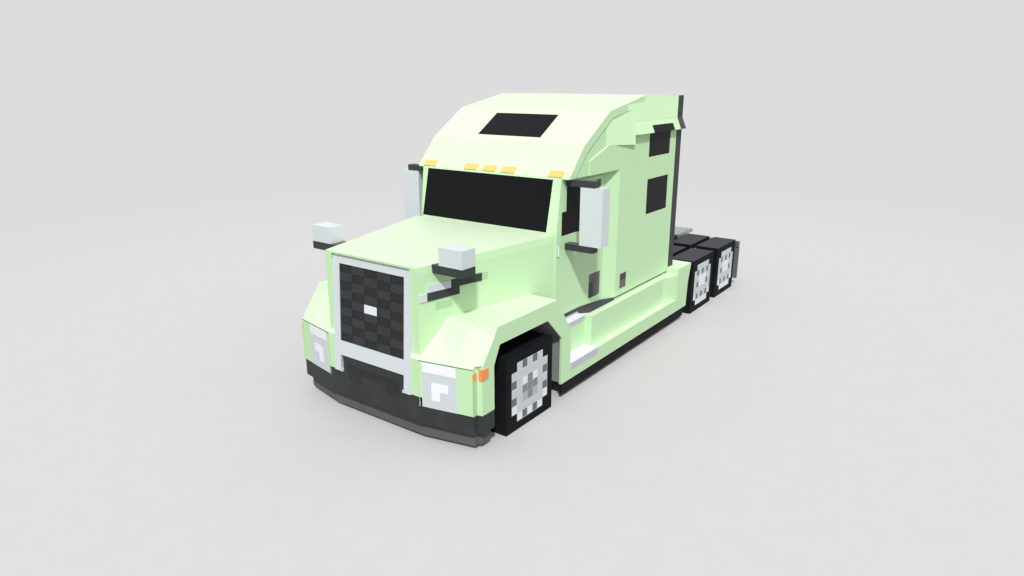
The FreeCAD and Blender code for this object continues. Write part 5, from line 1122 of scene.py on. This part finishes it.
def seen_rays(finish):
    """One where the camera looks straight, through glass or by way of a reflection."""
    paths = add(finish, "LightPath").outputs
    bent = add(finish, "Math", {0: paths["Is Glossy Ray"], 1: paths["Is Transmission Ray"]},
               operation="MAXIMUM").outputs[0]
    return add(finish, "Math", {0: paths["Is Camera Ray"], 1: bent}, operation="MAXIMUM").outputs[0]


def lay_stage():
    """A pale floor that fades into the backdrop's tone away from the truck."""
    finish = new_finish("pale_studio_floor")
    spot = add(finish, "TexCoord").outputs["Object"]
    far = add(finish, "VectorMath", {0: spot}, operation="LENGTH").outputs["Value"]
    fade = ramp(finish, far, FADE_START, FADE_END)
    mottle = ramp(finish, speckle(finish, 300, 3), 0.3, 0.7)
    seen = seen_rays(finish)
    pale = blend(finish, mottle, *FLOOR_TONES)
    paint = add(finish, "BsdfPrincipled", {"Base Color": blend(finish, seen, FLOOR_BOUNCE, pale),
                                           "Roughness": 0.9}).outputs[0]
    plain = add(finish, "Emission", {"Color": linear(BACKDROP), "Strength": 1.0}).outputs[0]
    faded = times(finish, fade, seen)
    mixed = add(finish, "MixShader", {0: faded, 1: paint, 2: plain}).outputs[0]
    close_finish(finish, mixed)
    form = bmesh.new()
    bmesh.ops.create_circle(form, cap_ends=True, segments=96, radius=FLOOR_RADIUS)
    floor = new_object("studio_floor", form, [finish])


def light_studio():
    """One broad key from the front left above, and an even sky."""
    world = bpy.data.worlds.new("studio_air")
    bpy.context.scene.world = world
    world.use_nodes = True
    world.node_tree.nodes.clear()
    seen = seen_rays(world)
    sky = add(world, "Background", {"Color": linear("#FFFFFF"), "Strength": SKY_LEVEL}).outputs[0]
    backdrop = add(world, "Background", {"Color": linear(BACKDROP), "Strength": 1.0}).outputs[0]
    mixed = add(world, "MixShader", {0: seen, 1: sky, 2: backdrop}).outputs[0]
    add(world, "OutputWorld", {"Surface": mixed})
    key = bpy.data.lights.new("key_light", "SUN")
    key.energy = KEY_LEVEL
    key.angle = math.radians(KEY_SOFTNESS)
    lamp = bpy.data.objects.new("key_light", key)
    lamp.rotation_euler = Vector(KEY_FROM).to_track_quat("Z", "Y").to_euler()
    bpy.context.scene.collection.objects.link(lamp)


def set_camera():
    """The photograph's view."""
    view = bpy.data.cameras.new("photo_view")
    view.sensor_width = 36
    view.lens = VIEW_LENS
    view.clip_end = 200
    camera = bpy.data.objects.new("photo_view", view)
    turn, rise = math.radians(VIEW_TURN), math.radians(VIEW_RISE)
    look = Vector((-math.sin(turn) * math.cos(rise), math.cos(turn) * math.cos(rise), -math.sin(rise)))
    camera.location = place(*VIEW_PLACE)
    camera.rotation_euler = look.to_track_quat("-Z", "Y").to_euler()
    bpy.context.scene.collection.objects.link(camera)
    bpy.context.scene.camera = camera


lay_stage()
light_studio()
set_camera()
bpy.context.scene.view_settings.view_transform = "Standard"
